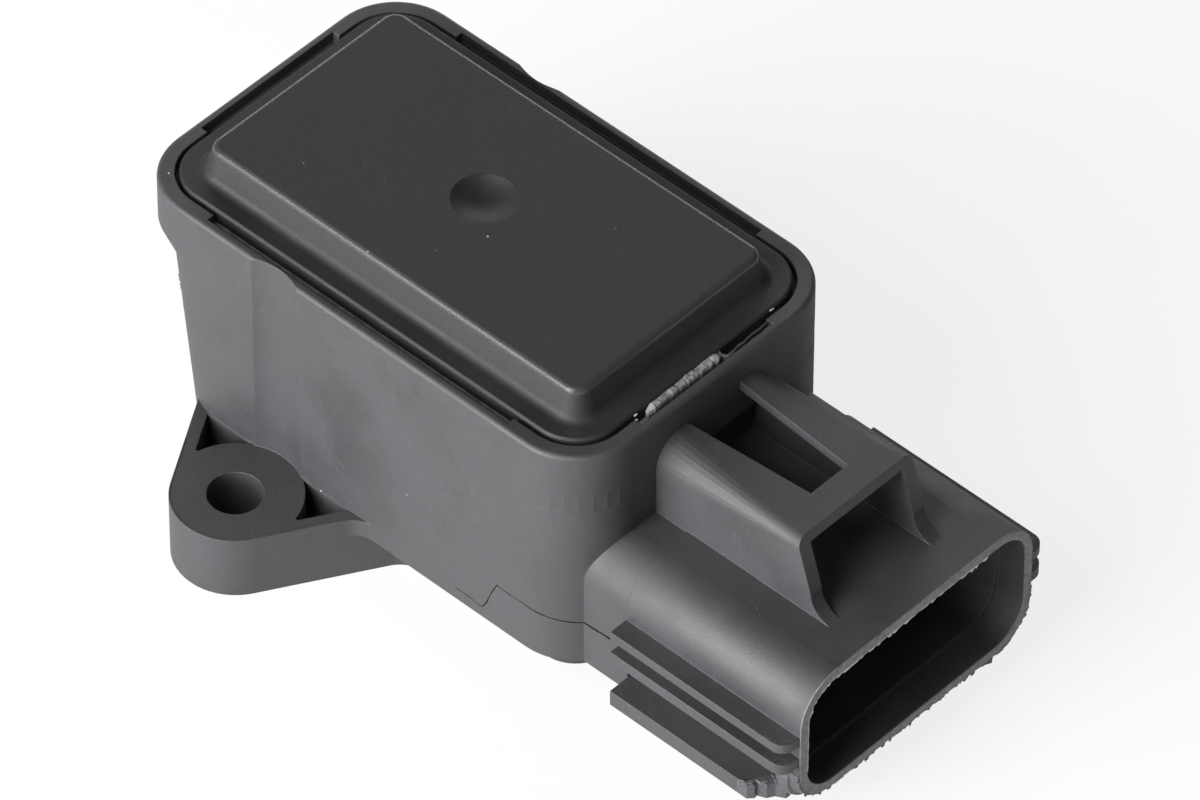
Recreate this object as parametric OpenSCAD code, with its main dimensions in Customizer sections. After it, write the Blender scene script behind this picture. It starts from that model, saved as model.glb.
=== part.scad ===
// Throttle position sensor with a potted cover, two bolt ears and a six-way plug.
// Origin: on the rotor's axis, in the plane of the mounting face.
// +X runs towards the plug's mouth, +Y across the body, +Z away from the mounting face.

/* [Body] */
// Length of the body box, along the plug
body_l = 57.4; // [55:0.1:62]
// Width of the body box
body_w = 35.6; // [34.6:0.1:40]
// Height of the body box, from its underside to the rim
body_h = 26.7; // [25.5:0.1:32]
// Radius of the body's upright corners
body_r = 6.8; // [6:0.1:8]
// Thickness of the body's walls
wall_t = 2.8; // [2.5:0.1:3]
// Thickness of the body's floor
floor_t = 2.8; // [2.4:0.1:3.6]
// Distance from the rotor's axis back to the end of the body
rotor_back = 19; // [18.4:0.1:20]

/* [End wall] */
// Height of the lip below the rim, at the end away from the plug
lip_h = 5.1; // [4:0.1:6]
// Step from the lip back to the end wall
lip_step = 2.1; // [1.5:0.1:2.4]
// Lean of the end wall, in degrees
end_lean = 6.5; // [5:0.5:7]

/* [Rim] */
// Width of the rim round the cover
rim_w = 1.65; // [1.4:0.05:1.9]
// Radius of the rim's outer edge
rim_round = 0.5; // [0.3:0.1:0.8]
// Depth of the reliefs in the rim's inner face
relief_d = 0.8; // [0.4:0.1:0.9]
// Length of the reliefs along the long sides
relief_l = 38; // [30:1:40]
// Length of the reliefs along the short sides
relief_w = 17.6; // [14:0.2:20]
// Depth of the reliefs below the rim
relief_z = 1.2; // [0.8:0.1:1.5]

/* [Cover] */
// Gap between the cover and the rim
cover_gap = 0.45; // [0.3:0.05:0.6]
// Thickness of the cover
cover_t = 1.6; // [1.4:0.1:2]
// Height of the cover's flange above the rim
cover_proud = 0.3; // [0.1:0.1:0.5]
// Width of the cover's flat flange
flange_w = 1.6; // [1.3:0.1:2]
// Rise of the pan above the flange
pan_rise = 3.2; // [2.6:0.1:4]
// Steepness of the pan's side, in degrees
pan_slope = 72; // [65:1:80]
// Radius at the foot of the pan's side
pan_foot_r = 0.9; // [0.5:0.1:1.1]
// Radius at the top of the pan's side
pan_top_r = 0.6; // [0.3:0.1:0.9]
// Radius of the round dimple at the pan's face
dimple_r = 3.2; // [2:0.1:5]
// Depth of the dimple
dimple_d = 1.0; // [0.4:0.1:1.2]
// Thickness of the adhesive bead under the flange
bead_t = 0.3; // [0.2:0.05:0.5]
// Radius of the pillars that hold the board down
pillar_r = 1.8; // [1.4:0.1:2]

/* [Mounting plate] */
// Drop of the mounting face below the body box
base_drop = 5.2; // [4.8:0.1:6]
// Inset of the mounting plate from the body's sides and front
base_inset = 4; // [3.5:0.1:4.5]
// Inset of the mounting plate from the foot of the end wall
base_end_inset = 2; // [1:0.1:2.5]
// Radius of the mounting plate's corners
base_r = 4; // [3:0.5:6]
// Distance between the two bolt holes
ear_pitch = 47; // [46:0.5:52]
// Radius of the ears' round ends
ear_r = 6.2; // [5.6:0.1:6.6]
// Height of the ears' top above the mounting face
ear_t = 7.2; // [6.4:0.1:7.4]
// Radius of the bolt holes
bolt_r = 2.7; // [2.2:0.05:3.2]
// Flare of the ears' flanks, in degrees
ear_flare = 31; // [26:1:34]
// Radius where the flanks meet the body's walls
ear_blend = 2.8; // [2:0.1:4]
// Radius where the flanks meet the mounting plate
base_blend = 3.5; // [2:0.1:5]
// Radius of the clearance for the bolt's head
head_r = 6.4; // [6.2:0.1:6.8]
// Depth of the two pockets in each ear
ear_pocket_d = 4; // [3:0.5:5]
// Wall left round the ears' pockets
ear_pocket_wall = 1.3; // [1.1:0.1:1.8]

/* [Underside] */
// Radius of the shaft recess
recess_r = 7.8; // [7.6:0.1:8]
// Depth of the shaft recess
recess_h = 5; // [4.6:0.1:5.4]
// Thickness of the face seal's section
o_ring_d = 1.86; // [1.6:0.02:2]
// Radius of the face seal, to the middle of its section
o_ring_r = 10.1; // [10:0.1:10.2]
// Side of the square pockets in the mounting face
core_a = 6.4; // [5:0.1:6.8]
// Thickness of the ribs between those pockets
core_rib = 1.6; // [1.2:0.1:2]
// Depth of those pockets
core_d = 3.5; // [2:0.1:4.5]
// Distance from the face seal to the first of those pockets
core_edge = 4.6; // [3:0.1:5]

/* [Plug] */
// How far the side ribs stand out from the plug's shroud
rib_reach = 2.15; // [1.8:0.05:2.4]
// Height of the plug's shroud
plug_h = 15.25; // [14.8:0.05:16.5]
// Radius of the shroud's corners
plug_r = 4.7; // [4:0.1:5.5]
// Length of the neck between the body and the shroud
neck_l = 3.8; // [3:0.1:5]
// Step from the shroud down to the neck
neck_step = 0.2; // [0.1:0.05:0.4]
// Length of the shroud
shroud_l = 21.5; // [20:0.1:25]
// Thickness of the shroud's wall at the mouth
shroud_wall = 0.95; // [0.8:0.05:1.2]
// Length of the wider lead-in at the mouth
lead_l = 3.2; // [2:0.1:5]
// Step inward behind the lead-in
lead_step = 0.5; // [0.3:0.1:0.8]
// Depth of the socket
socket_d = 17.5; // [16:0.1:18]

/* [Side ribs] */
// Thickness of the lowest rib
rib_low_t = 1.8; // [1.4:0.1:2.4]
// Height of the middle rib above the shroud's underside
rib_mid_z = 5.8; // [5:0.1:6]
// Thickness of the middle rib
rib_mid_t = 1.2; // [0.8:0.1:1.4]
// Height of the top rib above the shroud's underside
rib_top_z = 8.6; // [8:0.1:9]
// Thickness of the top rib
rib_top_t = 1.05; // [0.8:0.05:1.3]
// Radius of the ribs' front corner
rib_round = 1.4; // [1:0.1:1.8]
// Distance from the ribs' end to the mouth
rib_back = 0.2; // [0.1:0.1:1]
// Length broken off the lowest rib
rib_lost = 4.6; // [3:0.1:8]

/* [Latch tower] */
// Width of the tower
tower_w = 15.3; // [14:0.1:17]
// Height of the tower above the shroud
tower_h = 8.35; // [7.5:0.05:9]
// Length of the tower's top
tower_l = 17.2; // [16:0.1:19]
// Thickness of the tower's side walls
tower_wall = 1.5; // [1.2:0.1:2]
// Thickness of the tower's roof
roof_t = 1.0; // [0.8:0.1:1.6]
// Lean of the tower's front, from top to foot
tower_lean = 1.8; // [1:0.1:2.4]
// Radius of the tower's feet
foot_r = 2.5; // [1.5:0.1:3]
// Radius of the tower's top edges at the body
tower_back_r = 3.2; // [2.4:0.1:3.6]
// Radius of the tower's top edges at the front
tower_front_r = 0.6; // [0.4:0.1:1.2]
// Width of the roof's slot at the body
slot_back_w = 7; // [6:0.1:8]
// Width of the roof's slot at its front
slot_front_w = 4.9; // [4:0.1:5.5]
// Length of the roof's slot
slot_l = 14.15; // [12:0.05:14.5]
// Depth of the recess at the back of the arch
arch_recess = 0.8; // [0.4:0.1:1]
// Height of that recess
arch_recess_h = 4; // [3:0.1:5]

/* [Shaft bearing] */
// Radius of the rotor's hub
hub_r = 5; // [4.8:0.05:5.1]
// Running clearance between hub and bush, on the radius
run_gap = 0.05; // [0.02:0.01:0.08]
// Wall of the bush
bush_t = 1.15; // [1:0.05:1.3]
// Outer radius of the boss that holds the bush
boss_r = 8; // [7.6:0.1:8.2]
// Height of that boss above the floor
boss_h = 3; // [2.6:0.1:3.4]
// Small gap between pieces that sit in one another
seat_gap = 0.02; // [0.01:0.01:0.04]
// Thickness of the thrust washer
washer_t = 0.6; // [0.4:0.1:0.8]
// Thickness of the retaining ring
ring_t = 0.7; // [0.5:0.1:0.8]
// Height of the shaft seal
seal_h = 2.2; // [1.8:0.1:2.4]
// Distance from the mounting face to the shaft seal
seal_z = 0.6; // [0.4:0.1:0.8]

/* [Rotor] */
// Radius of the drive socket
drive_r = 3.4; // [3:0.1:3.5]
// Distance from the axis to the drive socket's flat
drive_flat = 2.6; // [2.4:0.05:2.7]
// Depth of the drive socket
drive_d = 9.4; // [8:0.1:9.8]
// Depth of the round lead-in to the drive socket
drive_lead = 4.4; // [3:0.1:5]
// How far the round lead-in stands back from the drive socket's side
drive_step = 0.4; // [0.35:0.05:0.45]
// Height of the hub's end above the mounting face
hub_z = 1.4; // [1:0.1:1.8]
// Radius of the collar above the bush
collar_r = 6.6; // [6.2:0.1:7]
// Height of the collar
collar_h = 1.9; // [1.8:0.1:2.2]
// End play above the bush
end_play = 0.1; // [0.05:0.05:0.2]
// Radius of the wiper disc
disc_r = 10.4; // [10:0.1:10.6]
// Thickness of the wiper disc
disc_t = 2; // [1.6:0.1:2.4]
// Width of the stop lug on the disc
lug_w = 3.2; // [2.4:0.1:3.6]
// Reach of the stop lug from the axis
lug_reach = 12.6; // [12.2:0.1:12.8]
// Width of the prong that takes the spring's end
prong_w = 2; // [1.6:0.1:2.2]
// Travel between the two stops, in degrees
travel = 95; // [80:1:100]
// Radius of the stop posts
stop_r = 1.1; // [0.9:0.1:1.2]
// Distance from the axis to the stop posts
stop_at = 12.2; // [12:0.1:12.4]
// Clearance between the lug and each stop post
stop_gap = 0.3; // [0.2:0.05:0.5]

/* [Return spring] */
// Radius of the spring's coils, to the middle of the wire
spring_r = 9.05; // [8.9:0.05:9.2]
// Diameter of the spring's wire
wire_d = 0.9; // [0.6:0.05:1]
// Whole turns, apart from the part turn to the second leg
spring_turns = 2; // [1:1:2]
// Length of the spring's legs beyond the coils
leg_l = 3.4; // [3:0.1:3.6]
// Length of the bend between coil and leg
leg_bend = 0.8; // [0.6:0.1:1]

/* [Wipers and board] */
// Thickness of the wipers' sheet
wiper_t = 0.3; // [0.2:0.05:0.4]
// Width of the wipers' fingers
finger_w = 1; // [0.8:0.1:1.2]
// Reach of the wipers' fingers
finger_l = 5.4; // [4.8:0.1:6]
// Length of the wipers' foot
wiper_foot = 3; // [2.4:0.1:3.6]
// Gap between the wipers and the tracks
wiper_gap = 0.15; // [0.1:0.05:0.2]
// Radius of the inner track
track_in_r = 6.2; // [6:0.1:6.5]
// Radius of the outer track
track_out_r = 8.6; // [8.3:0.1:9]
// Width of the tracks
track_w = 1.6; // [1.2:0.1:1.8]
// Thickness of the printed tracks
track_t = 0.08; // [0.05:0.01:0.12]
// How far the tracks run past the travel, in degrees
track_past = 10; // [5:1:15]
// Room between the disc and the board
wiper_room = 3; // [2.8:0.1:3.4]
// Thickness of the circuit board
board_t = 1.6; // [1:0.1:2]
// Gap between the board and the walls
board_gap = 0.7; // [0.4:0.1:1]
// Radius of the posts under the board
post_r = 2; // [1.8:0.1:2.2]
// Distance from the board's rear end to the rear posts
post_back = 3; // [2.8:0.1:3.4]
// Distance from the board's front end to the front posts
post_front = 9.6; // [9:0.1:10.5]
// Distance from the board's sides to the posts
post_side = 2.1; // [2.1:0.1:2.4]
// Length of the chips on the board
chip_l = 2; // [1.6:0.1:2.4]
// Width of the chips
chip_w = 1.25; // [0.8:0.05:1.6]
// Height of the chip capacitors
capacitor_h = 1.2; // [0.8:0.1:1.6]
// Height of the chip resistors
resistor_h = 0.6; // [0.4:0.1:0.8]
// Distance from the board's sides to the outer chips
chip_side = 6.8; // [6:0.1:8]
// Distance from the terminal carrier to the first row of chips, and on to the second
chip_row = 5.5; // [4:0.5:6]

/* [Terminals] */
// Number of terminals
pins = 6; // [4:2:6]
// Distance from the socket's side to the middle of the outer terminal
pin_side = 4.2; // [3.8:0.1:5.2]
// Width of a terminal
pin_w = 1.5; // [1.2:0.1:1.8]
// Thickness of a terminal
pin_t = 0.8; // [0.6:0.1:0.9]
// Distance from the terminals' tips to the plug's mouth
pin_back = 7; // [6:0.1:9]
// Length of a terminal's pointed tip
pin_point = 1.2; // [0.8:0.1:1.6]
// Clearance round each terminal
pin_gap = 0.05; // [0.03:0.01:0.08]
// Thickness of the terminal carrier along the plug
carrier_l = 3.9; // [3:0.1:4.2]
// Height of the terminal carrier
carrier_h = 8; // [7.6:0.1:8.4]
// Gap between the terminals' upright legs and the carrier
leg_gap = 1; // [0.6:0.1:1.4]

/* [Hidden] */
$fn = 48;
hull_fn = 32;
sliver = 0.01;
over = 1;

// Colours
moulding = "#232527";
cover_black = "#2a2c2e";
brass_tin = "#c9c3ad";
copper = "#b87b4a";
steel = "#a9adb1";
rubber = "#17181a";
board_green = "#2f5a3c";
sealant_grey = "#8f9290";

// Heights above the mounting face
floor_z = base_drop + floor_t;
rim_z = base_drop + body_h;
boss_top = floor_z + boss_h;
collar_z = boss_top + end_play;
disc_z = collar_z + collar_h;
disc_top = disc_z + disc_t;
board_z = disc_top + wiper_room;
board_top = board_z + board_t;
seat_z = rim_z + cover_proud - cover_t - bead_t;
flange_z = seat_z + bead_t;
pan_z = flange_z + cover_t + pan_rise;
pin_z = base_drop + plug_h / 2;

// Places along the plug, in the body's own frame: the middle of the body box's underside
rotor_set = body_l / 2 - rotor_back;
plug_w = body_w - 2 * rib_reach;
front_x = body_l / 2;
shroud_x = front_x + neck_l;
mouth_x = shroud_x + shroud_l;
socket_x = mouth_x - socket_d;
lip_z = body_h - lip_h - lip_step;
end_x = -body_l / 2 + lip_step + lip_z * tan(end_lean);

// Cover
cover_l = body_l - 2 * (rim_w + cover_gap);
cover_w = body_w - 2 * (rim_w + cover_gap);
cover_r = body_r - rim_w - cover_gap;
cover_edge = 0.2;
pan_side = (pan_rise - (pan_foot_r + pan_top_r) * (1 - cos(pan_slope))) / sin(pan_slope);
pan_run = (pan_foot_r + pan_top_r) * sin(pan_slope) + pan_side * cos(pan_slope);
pan_foot = cover_r - flange_w;
pan_edge = pan_foot - pan_run;
pan_l = cover_l - 2 * (cover_r - pan_edge);
pan_w = cover_w - 2 * (cover_r - pan_edge);
pan_wall = 0.6;
pan_inner_r = 0.8;
dimple_sphere = (dimple_r * dimple_r + dimple_d * dimple_d) / (2 * dimple_d);

// Ears
ear_y = ear_pitch / 2;
base_l = front_x - base_inset - end_x - base_end_inset;
base_x0 = rotor_set + end_x + base_end_inset;
base_w = body_w - 2 * base_inset;
boss_ring = head_r + 0.1;
core_pitch = core_a + core_rib;
core_x0 = o_ring_r + o_ring_d / 2 + core_edge;
core_columns = floor((base_x0 + base_l - core_x0 - core_rib) / core_pitch);
core_rows = floor((base_w - 2 * core_rib) / core_pitch);

// Shaft and rotor
bush_r = hub_r + run_gap + bush_t;
groove_d = 0.4;
ring_r = hub_r + 1.4;
washer_z = recess_h - washer_t;
ring_z = washer_z - end_play - ring_t;
lug_angle = -travel / 2;
stop_angle = travel / 2 + asin((lug_w / 2 + stop_gap + stop_r) / stop_at);
prong_h = 1.5;
peg_gap = 0.1;
coil_end = lug_angle + asin((prong_w / 2 + peg_gap + wire_d / 2) / spring_r);
coil_start = stop_angle - asin((stop_r + peg_gap + wire_d / 2) / stop_at);
coil_turn = 360 * (spring_turns + 1) + coil_end - coil_start;
coil_z = floor_z + wire_d / 2 + peg_gap;
coil_rise = disc_z - floor_z - wire_d - 4 * peg_gap;

// Board
board_x0 = end_x - (board_z - base_drop) * tan(end_lean) + wall_t / cos(end_lean) + board_gap;
board_x1 = front_x - wall_t - board_gap;
board_w = body_w - 2 * wall_t - 2 * board_gap;
board_r = 3;
post_xs = [board_x0 + post_back, board_x1 - post_front];
post_y = board_w / 2 - post_side;
chip_pitch = (board_w - 2 * chip_side) / 3;

// Terminals
pin_pitch = (plug_w - 2 * (shroud_wall + lead_step + pin_side)) / (pins - 1);
carrier_x = front_x - wall_t - carrier_l - seat_gap;
leg_x = carrier_x - leg_gap - pin_t;
carrier_w = (pins - 1) * pin_pitch + pin_w + 1.4;

// Moves from the body's own frame to the mounting frame
module on_body() {
    translate([rotor_set, 0, base_drop]) children();
}

module both_sides() {
    for (side = [0, 1]) mirror([0, side, 0]) children();
}

module rounded_rect(l, w, r) {
    square([l - 2 * r, w], center = true);
    square([l, w - 2 * r], center = true);
    for (sx = [-1, 1], sy = [-1, 1]) translate([sx * (l / 2 - r), sy * (w / 2 - r)]) circle(r);
}

module slab(l, w, h, r) {
    linear_extrude(h) rounded_rect(l, w, r);
}

// Extrudes an outline drawn in Y and Z from x0 to x1
module along_x(x0, x1) {
    translate([x0, 0, 0]) rotate([90, 0, 90]) linear_extrude(x1 - x0) children();
}

// Extrudes an outline drawn in X and Z across a width about the middle plane
module across_y(w) {
    rotate([90, 0, 0]) linear_extrude(w, center = true) children();
}

// A block whose side follows one profile all the way round a rounded rectangle.
// The profile runs outward from the centre of the corner's radius.
module profiled_block(l, w, r, low, high) {
    core_l = l - 2 * r;
    core_w = w - 2 * r;
    for (sx = [-1, 1], sy = [-1, 1])
        translate([sx * core_l / 2, sy * core_w / 2, 0]) rotate_extrude() children();
    both_sides()
        translate([0, core_w / 2, 0]) rotate([90, 0, 90])
            linear_extrude(core_l, center = true) children();
    for (end = [0, 1])
        mirror([end, 0, 0]) translate([core_l / 2, 0, 0]) rotate([90, 0, 0])
            linear_extrude(core_w, center = true) children();
    translate([-core_l / 2, -core_w / 2, low]) cube([core_l, core_w, high - low]);
}

// A long block with rounded corners whose end leans as the end wall does
module leaning_block(inset) {
    translate([end_x + inset / cos(end_lean), 0, 0]) rotate([0, -end_lean, 0])
        translate([0, 0, -body_h]) linear_extrude(3 * body_h)
            translate([body_l, 0]) rounded_rect(2 * body_l, body_w - 2 * inset, body_r - inset);
}

module body_outer() {
    translate([0, 0, body_h - lip_h]) profiled_block(body_l, body_w, body_r, 0, lip_h) {
        union() {
            square([body_r, lip_h - rim_round]);
            square([body_r - rim_round, lip_h]);
            translate([body_r - rim_round, lip_h - rim_round]) circle(rim_round);
        }
    }
    hull() {
        translate([0, 0, body_h - lip_h]) linear_extrude(sliver)
            rounded_rect(body_l, body_w, body_r, $fn = hull_fn);
        translate([lip_step / 2, 0, lip_z - sliver]) linear_extrude(sliver)
            rounded_rect(body_l - lip_step, body_w, body_r, $fn = hull_fn);
    }
    intersection() {
        slab(body_l, body_w, lip_z, body_r);
        leaning_block(0);
    }
}

module cavity() {
    intersection() {
        translate([0, 0, floor_t])
            slab(body_l - 2 * wall_t, body_w - 2 * wall_t, body_h, body_r - wall_t);
        leaning_block(wall_t);
    }
}

// Pocket for the cover, with the shallow reliefs in its walls
module cover_pocket() {
    pocket_l = body_l - 2 * rim_w;
    pocket_w = body_w - 2 * rim_w;
    depth = rim_z - seat_z;
    translate([0, 0, body_h - depth]) slab(pocket_l, pocket_w, depth + over, body_r - rim_w);
    translate([0, 0, body_h - relief_z]) linear_extrude(relief_z + over) {
        square([relief_l, pocket_w + 2 * relief_d], center = true);
        square([pocket_l + 2 * relief_d, relief_w], center = true);
    }
}

// The flank of an ear meets a wall that runs along X at this height
function flank_x(wall_y) =
    ear_r * cos(ear_flare) + (ear_y + ear_r * sin(ear_flare) - wall_y) * tan(ear_flare);

// Where the flank is, at a distance from the ear's middle
function flank_y(x) =
    ear_y + ear_r * sin(ear_flare) - (x - ear_r * cos(ear_flare)) / tan(ear_flare);

// Half of an ear's outline: the blend at the wall, then the flank up to the round end
function flank_points(wall_y, blend_r) = let (
    steps = 10,
    turn = 90 - ear_flare,
    reach = blend_r * tan(turn / 2),
    centre = [flank_x(wall_y) + reach, wall_y + blend_r]
) concat(
    [[centre[0], wall_y - over]],
    [for (i = [0 : steps]) let (a = turn * i / steps) centre - blend_r * [sin(a), cos(a)]],
    [[ear_r * cos(ear_flare), ear_y + ear_r * sin(ear_flare)]]
);

// Outline of one ear, drawn towards +Y: blended into the wall on the plug's side, and
// running straight into the corner of the end wall on the other side
module ear_outline(wall_y, blend_r) {
    translate([0, ear_y]) circle(ear_r);
    polygon(concat(flank_points(wall_y, blend_r), [
        [-ear_r * cos(ear_flare), ear_y + ear_r * sin(ear_flare)],
        [base_x0, flank_y(-base_x0)],
        [base_x0, base_w / 2 - base_r - over],
        [0, base_w / 2 - base_r - over]
    ]));
}

module mounting_plate() {
    translate([base_x0 + base_l / 2, 0, 0]) slab(base_l, base_w, base_drop + over, base_r);
    both_sides() {
        linear_extrude(ear_t) ear_outline(base_w / 2, base_blend);
        translate([0, 0, base_drop]) linear_extrude(ear_t - base_drop)
            ear_outline(body_w / 2, ear_blend);
    }
}

// Two pockets beside each bolt's boss, against the wall
module ear_pockets() {
    inner_y = body_w / 2 + 0.15;
    shift = ear_pocket_wall / cos(ear_flare);
    tip_y = ear_y - 1.5;
    both_sides() translate([0, 0, ear_t - ear_pocket_d]) linear_extrude(ear_pocket_d + over)
        difference() {
            for (end = [0, 1]) mirror([end, 0])
                polygon([
                    [0, inner_y], [flank_x(inner_y) - shift, inner_y],
                    [flank_x(tip_y) - shift, tip_y], [0, tip_y]
                ]);
            translate([0, ear_y]) circle(boss_ring);
        }
}

// Room for the bolts' heads in the body's side walls
module head_clearance() {
    both_sides() translate([0, ear_y, ear_t]) cylinder(h = rim_z, r = head_r);
}

module plug_outline(w, h, r) {
    translate([0, h / 2]) rounded_rect(w, h, r);
}

module neck() {
    w = plug_w - 2 * neck_step;
    h = plug_h - neck_step;
    along_x(front_x - body_r / 2, shroud_x) {
        plug_outline(w, h, plug_r - neck_step);
        translate([-w / 2, 0]) square([w, h / 2]);
    }
}

module side_rib(low, thick) {
    x_end = mouth_x - rib_back;
    y_in = plug_w / 2 - plug_r;
    y_out = body_w / 2;
    both_sides() translate([0, 0, low]) linear_extrude(thick) {
        translate([shroud_x, y_in]) square([x_end - rib_round - shroud_x, y_out - y_in]);
        translate([shroud_x, y_in]) square([x_end - shroud_x, y_out - rib_round - y_in]);
        translate([x_end - rib_round, y_out - rib_round]) circle(rib_round);
    }
}

// The lowest rib has its front corner broken away
module low_rib() {
    x_end = mouth_x - rib_lost;
    y_in = plug_w / 2 - plug_r;
    y_out = body_w / 2;
    both_sides() linear_extrude(rib_low_t)
        polygon([
            [shroud_x, y_in], [shroud_x, y_out], [x_end, y_out], [x_end + 0.5, y_out - 0.5],
            [x_end + 0.3, y_out - 0.9], [x_end + 1.3, y_out - 1.3], [x_end + 1.6, y_out - 2.1],
            [x_end + 2.6, y_out - 2.5], [x_end + 2.6, y_in]
        ]);
}

module tower_outline(r) {
    translate([-tower_w / 2, plug_h - over]) square([tower_w, tower_h + over - r]);
    translate([-tower_w / 2 + r, plug_h - over]) square([tower_w - 2 * r, tower_h + over]);
    for (side = [-1, 1])
        translate([side * (tower_w / 2 - r), plug_h + tower_h - r]) circle(r, $fn = hull_fn);
}

// Side view of the tower, with its leaning front and curved foot
module tower_side() {
    top = plug_h + tower_h;
    foot_x = front_x + tower_l + tower_lean;
    difference() {
        polygon([
            [front_x - over, plug_h - over], [front_x - over, top], [front_x + tower_l, top],
            [foot_x, plug_h + foot_r], [foot_x + foot_r, plug_h + foot_r],
            [foot_x + foot_r, plug_h - over]
        ]);
        translate([foot_x + foot_r, plug_h + foot_r]) circle(foot_r);
    }
}

module tower() {
    x1 = front_x + tower_l + tower_lean + foot_r;
    intersection() {
        across_y(tower_w + over) tower_side();
        hull() {
            along_x(front_x - over, front_x - over + sliver) tower_outline(tower_back_r);
            along_x(x1 - sliver, x1) tower_outline(tower_front_r);
        }
    }
}

// Open arch under the tower's roof, its recess in the body's wall and the roof's slot
module tower_cuts() {
    inner_w = tower_w - 2 * tower_wall;
    top = plug_h + tower_h;
    translate([front_x, -inner_w / 2, plug_h]) cube([shroud_l + neck_l, inner_w, tower_h - roof_t]);
    translate([front_x - arch_recess, -inner_w / 2, plug_h])
        cube([arch_recess + over, inner_w, arch_recess_h]);
    translate([front_x, 0, top - roof_t - over]) linear_extrude(roof_t + 2 * over)
        polygon([
            [0, -slot_back_w / 2], [slot_l, -slot_front_w / 2],
            [slot_l, slot_front_w / 2], [0, slot_back_w / 2]
        ]);
}

module socket() {
    lead_in = shroud_wall;
    deep_in = shroud_wall + lead_step;
    along_x(mouth_x - lead_l, mouth_x + over)
        translate([0, lead_in]) plug_outline(plug_w - 2 * lead_in, plug_h - 2 * lead_in, plug_r - lead_in);
    along_x(socket_x, mouth_x - lead_l + over)
        translate([0, deep_in]) plug_outline(plug_w - 2 * deep_in, plug_h - 2 * deep_in, plug_r - deep_in);
}

// Slots that the terminals pass through, between the cavity and the socket
module terminal_slots() {
    for (i = [0 : pins - 1])
        translate([front_x - wall_t - over, (i - (pins - 1) / 2) * pin_pitch, plug_h / 2])
            translate([0, -pin_w / 2 - pin_gap, -pin_t / 2 - pin_gap])
                cube([socket_x - front_x + wall_t + 2 * over, pin_w + 2 * pin_gap, pin_t + 2 * pin_gap]);
}

module underside_cuts() {
    translate([0, 0, -over]) cylinder(h = recess_h + over, r = recess_r);
    translate([0, 0, -over]) difference() {
        cylinder(h = o_ring_d + 0.1 + over, r = o_ring_r + o_ring_d / 2 + 0.1);
        cylinder(h = o_ring_d + 0.1 + over, r = o_ring_r - o_ring_d / 2 - 0.1);
    }
    both_sides() translate([0, ear_y, -over]) cylinder(h = ear_t + 2 * over, r = bolt_r);
    for (i = [0 : core_columns - 1], j = [0 : core_rows - 1])
        translate([core_x0 + i * core_pitch, (j - (core_rows - 1) / 2) * core_pitch - core_a / 2, -over])
            cube([core_a, core_a, core_d + over]);
}

// Boss for the bush, posts for the board and stops for the rotor, inside the body
module inner_posts() {
    cylinder(h = boss_top, r = boss_r);
    for (side = [-1, 1])
        rotate([0, 0, side * stop_angle]) translate([stop_at, 0, floor_z - over])
            cylinder(h = disc_top + 0.5 - floor_z + over, r = stop_r);
    for (x = post_xs, side = [-1, 1])
        translate([rotor_set + x, side * post_y, floor_z - over])
            cylinder(h = board_z - floor_z + over, r = post_r);
}

module housing() {
    color(moulding) difference() {
        union() {
            difference() {
                union() {
                    mounting_plate();
                    on_body() {
                        body_outer();
                        neck();
                        along_x(shroud_x, mouth_x) plug_outline(plug_w, plug_h, plug_r);
                        side_rib(rib_top_z, rib_top_t);
                        side_rib(rib_mid_z, rib_mid_t);
                        low_rib();
                        tower();
                    }
                }
                on_body() {
                    cavity();
                    cover_pocket();
                    socket();
                    tower_cuts();
                    terminal_slots();
                }
                head_clearance();
                ear_pockets();
            }
            difference() {
                inner_posts();
                translate([0, 0, -over]) cylinder(h = base_drop + over, r = boss_r + over);
            }
        }
        underside_cuts();
        cylinder(h = boss_top + over, r = bush_r);
    }
}

// Side of the cover: flange, foot, slope and rounded top of the pan
module cover_profile() {
    steps = 6;
    top = cover_t + pan_rise;
    polygon(concat(
        [[0, 0], [cover_r, 0], [cover_r, cover_t - cover_edge], [cover_r - cover_edge, cover_t]],
        [for (i = [0 : steps]) let (a = pan_slope * i / steps)
            [pan_foot - pan_foot_r * sin(a), cover_t + pan_foot_r * (1 - cos(a))]],
        [for (i = [steps : -1 : 0]) let (a = pan_slope * i / steps)
            [pan_edge + pan_top_r * sin(a), top - pan_top_r * (1 - cos(a))]],
        [[0, top]]
    ));
}

module cover() {
    top = cover_t + pan_rise;
    color(cover_black) translate([rotor_set, 0, flange_z]) {
        difference() {
            profiled_block(cover_l, cover_w, cover_r, 0, top) cover_profile();
            translate([0, 0, -over])
                slab(pan_l - 2 * pan_wall, pan_w - 2 * pan_wall, pan_rise + over, pan_inner_r);
            translate([0, 0, top + dimple_sphere - dimple_d]) sphere(dimple_sphere, $fn = 64);
        }
        for (x = post_xs, side = [-1, 1])
            translate([x, side * post_y, board_top - flange_z])
                cylinder(h = flange_z - board_top + over, r = pillar_r);
    }
}

module sealant_bead() {
    outer = rim_w + seat_gap;
    inner = wall_t - seat_gap;
    color(sealant_grey) translate([rotor_set, 0, seat_z]) difference() {
        slab(body_l - 2 * outer, body_w - 2 * outer, bead_t, body_r - outer);
        translate([0, 0, -over])
            slab(body_l - 2 * inner, body_w - 2 * inner, bead_t + 2 * over, body_r - inner);
    }
}

module track_board() {
    hole_w = pin_w + 4 * pin_gap;
    hole_t = pin_t + 4 * pin_gap;
    color(board_green) translate([rotor_set, 0, board_z]) difference() {
        translate([(board_x0 + board_x1) / 2, 0, 0]) slab(board_x1 - board_x0, board_w, board_t, board_r);
        for (i = [0 : pins - 1])
            translate([leg_x + pin_t / 2, (i - (pins - 1) / 2) * pin_pitch, board_t / 2])
                cube([hole_t, hole_w, board_t + over], center = true);
    }
}

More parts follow.
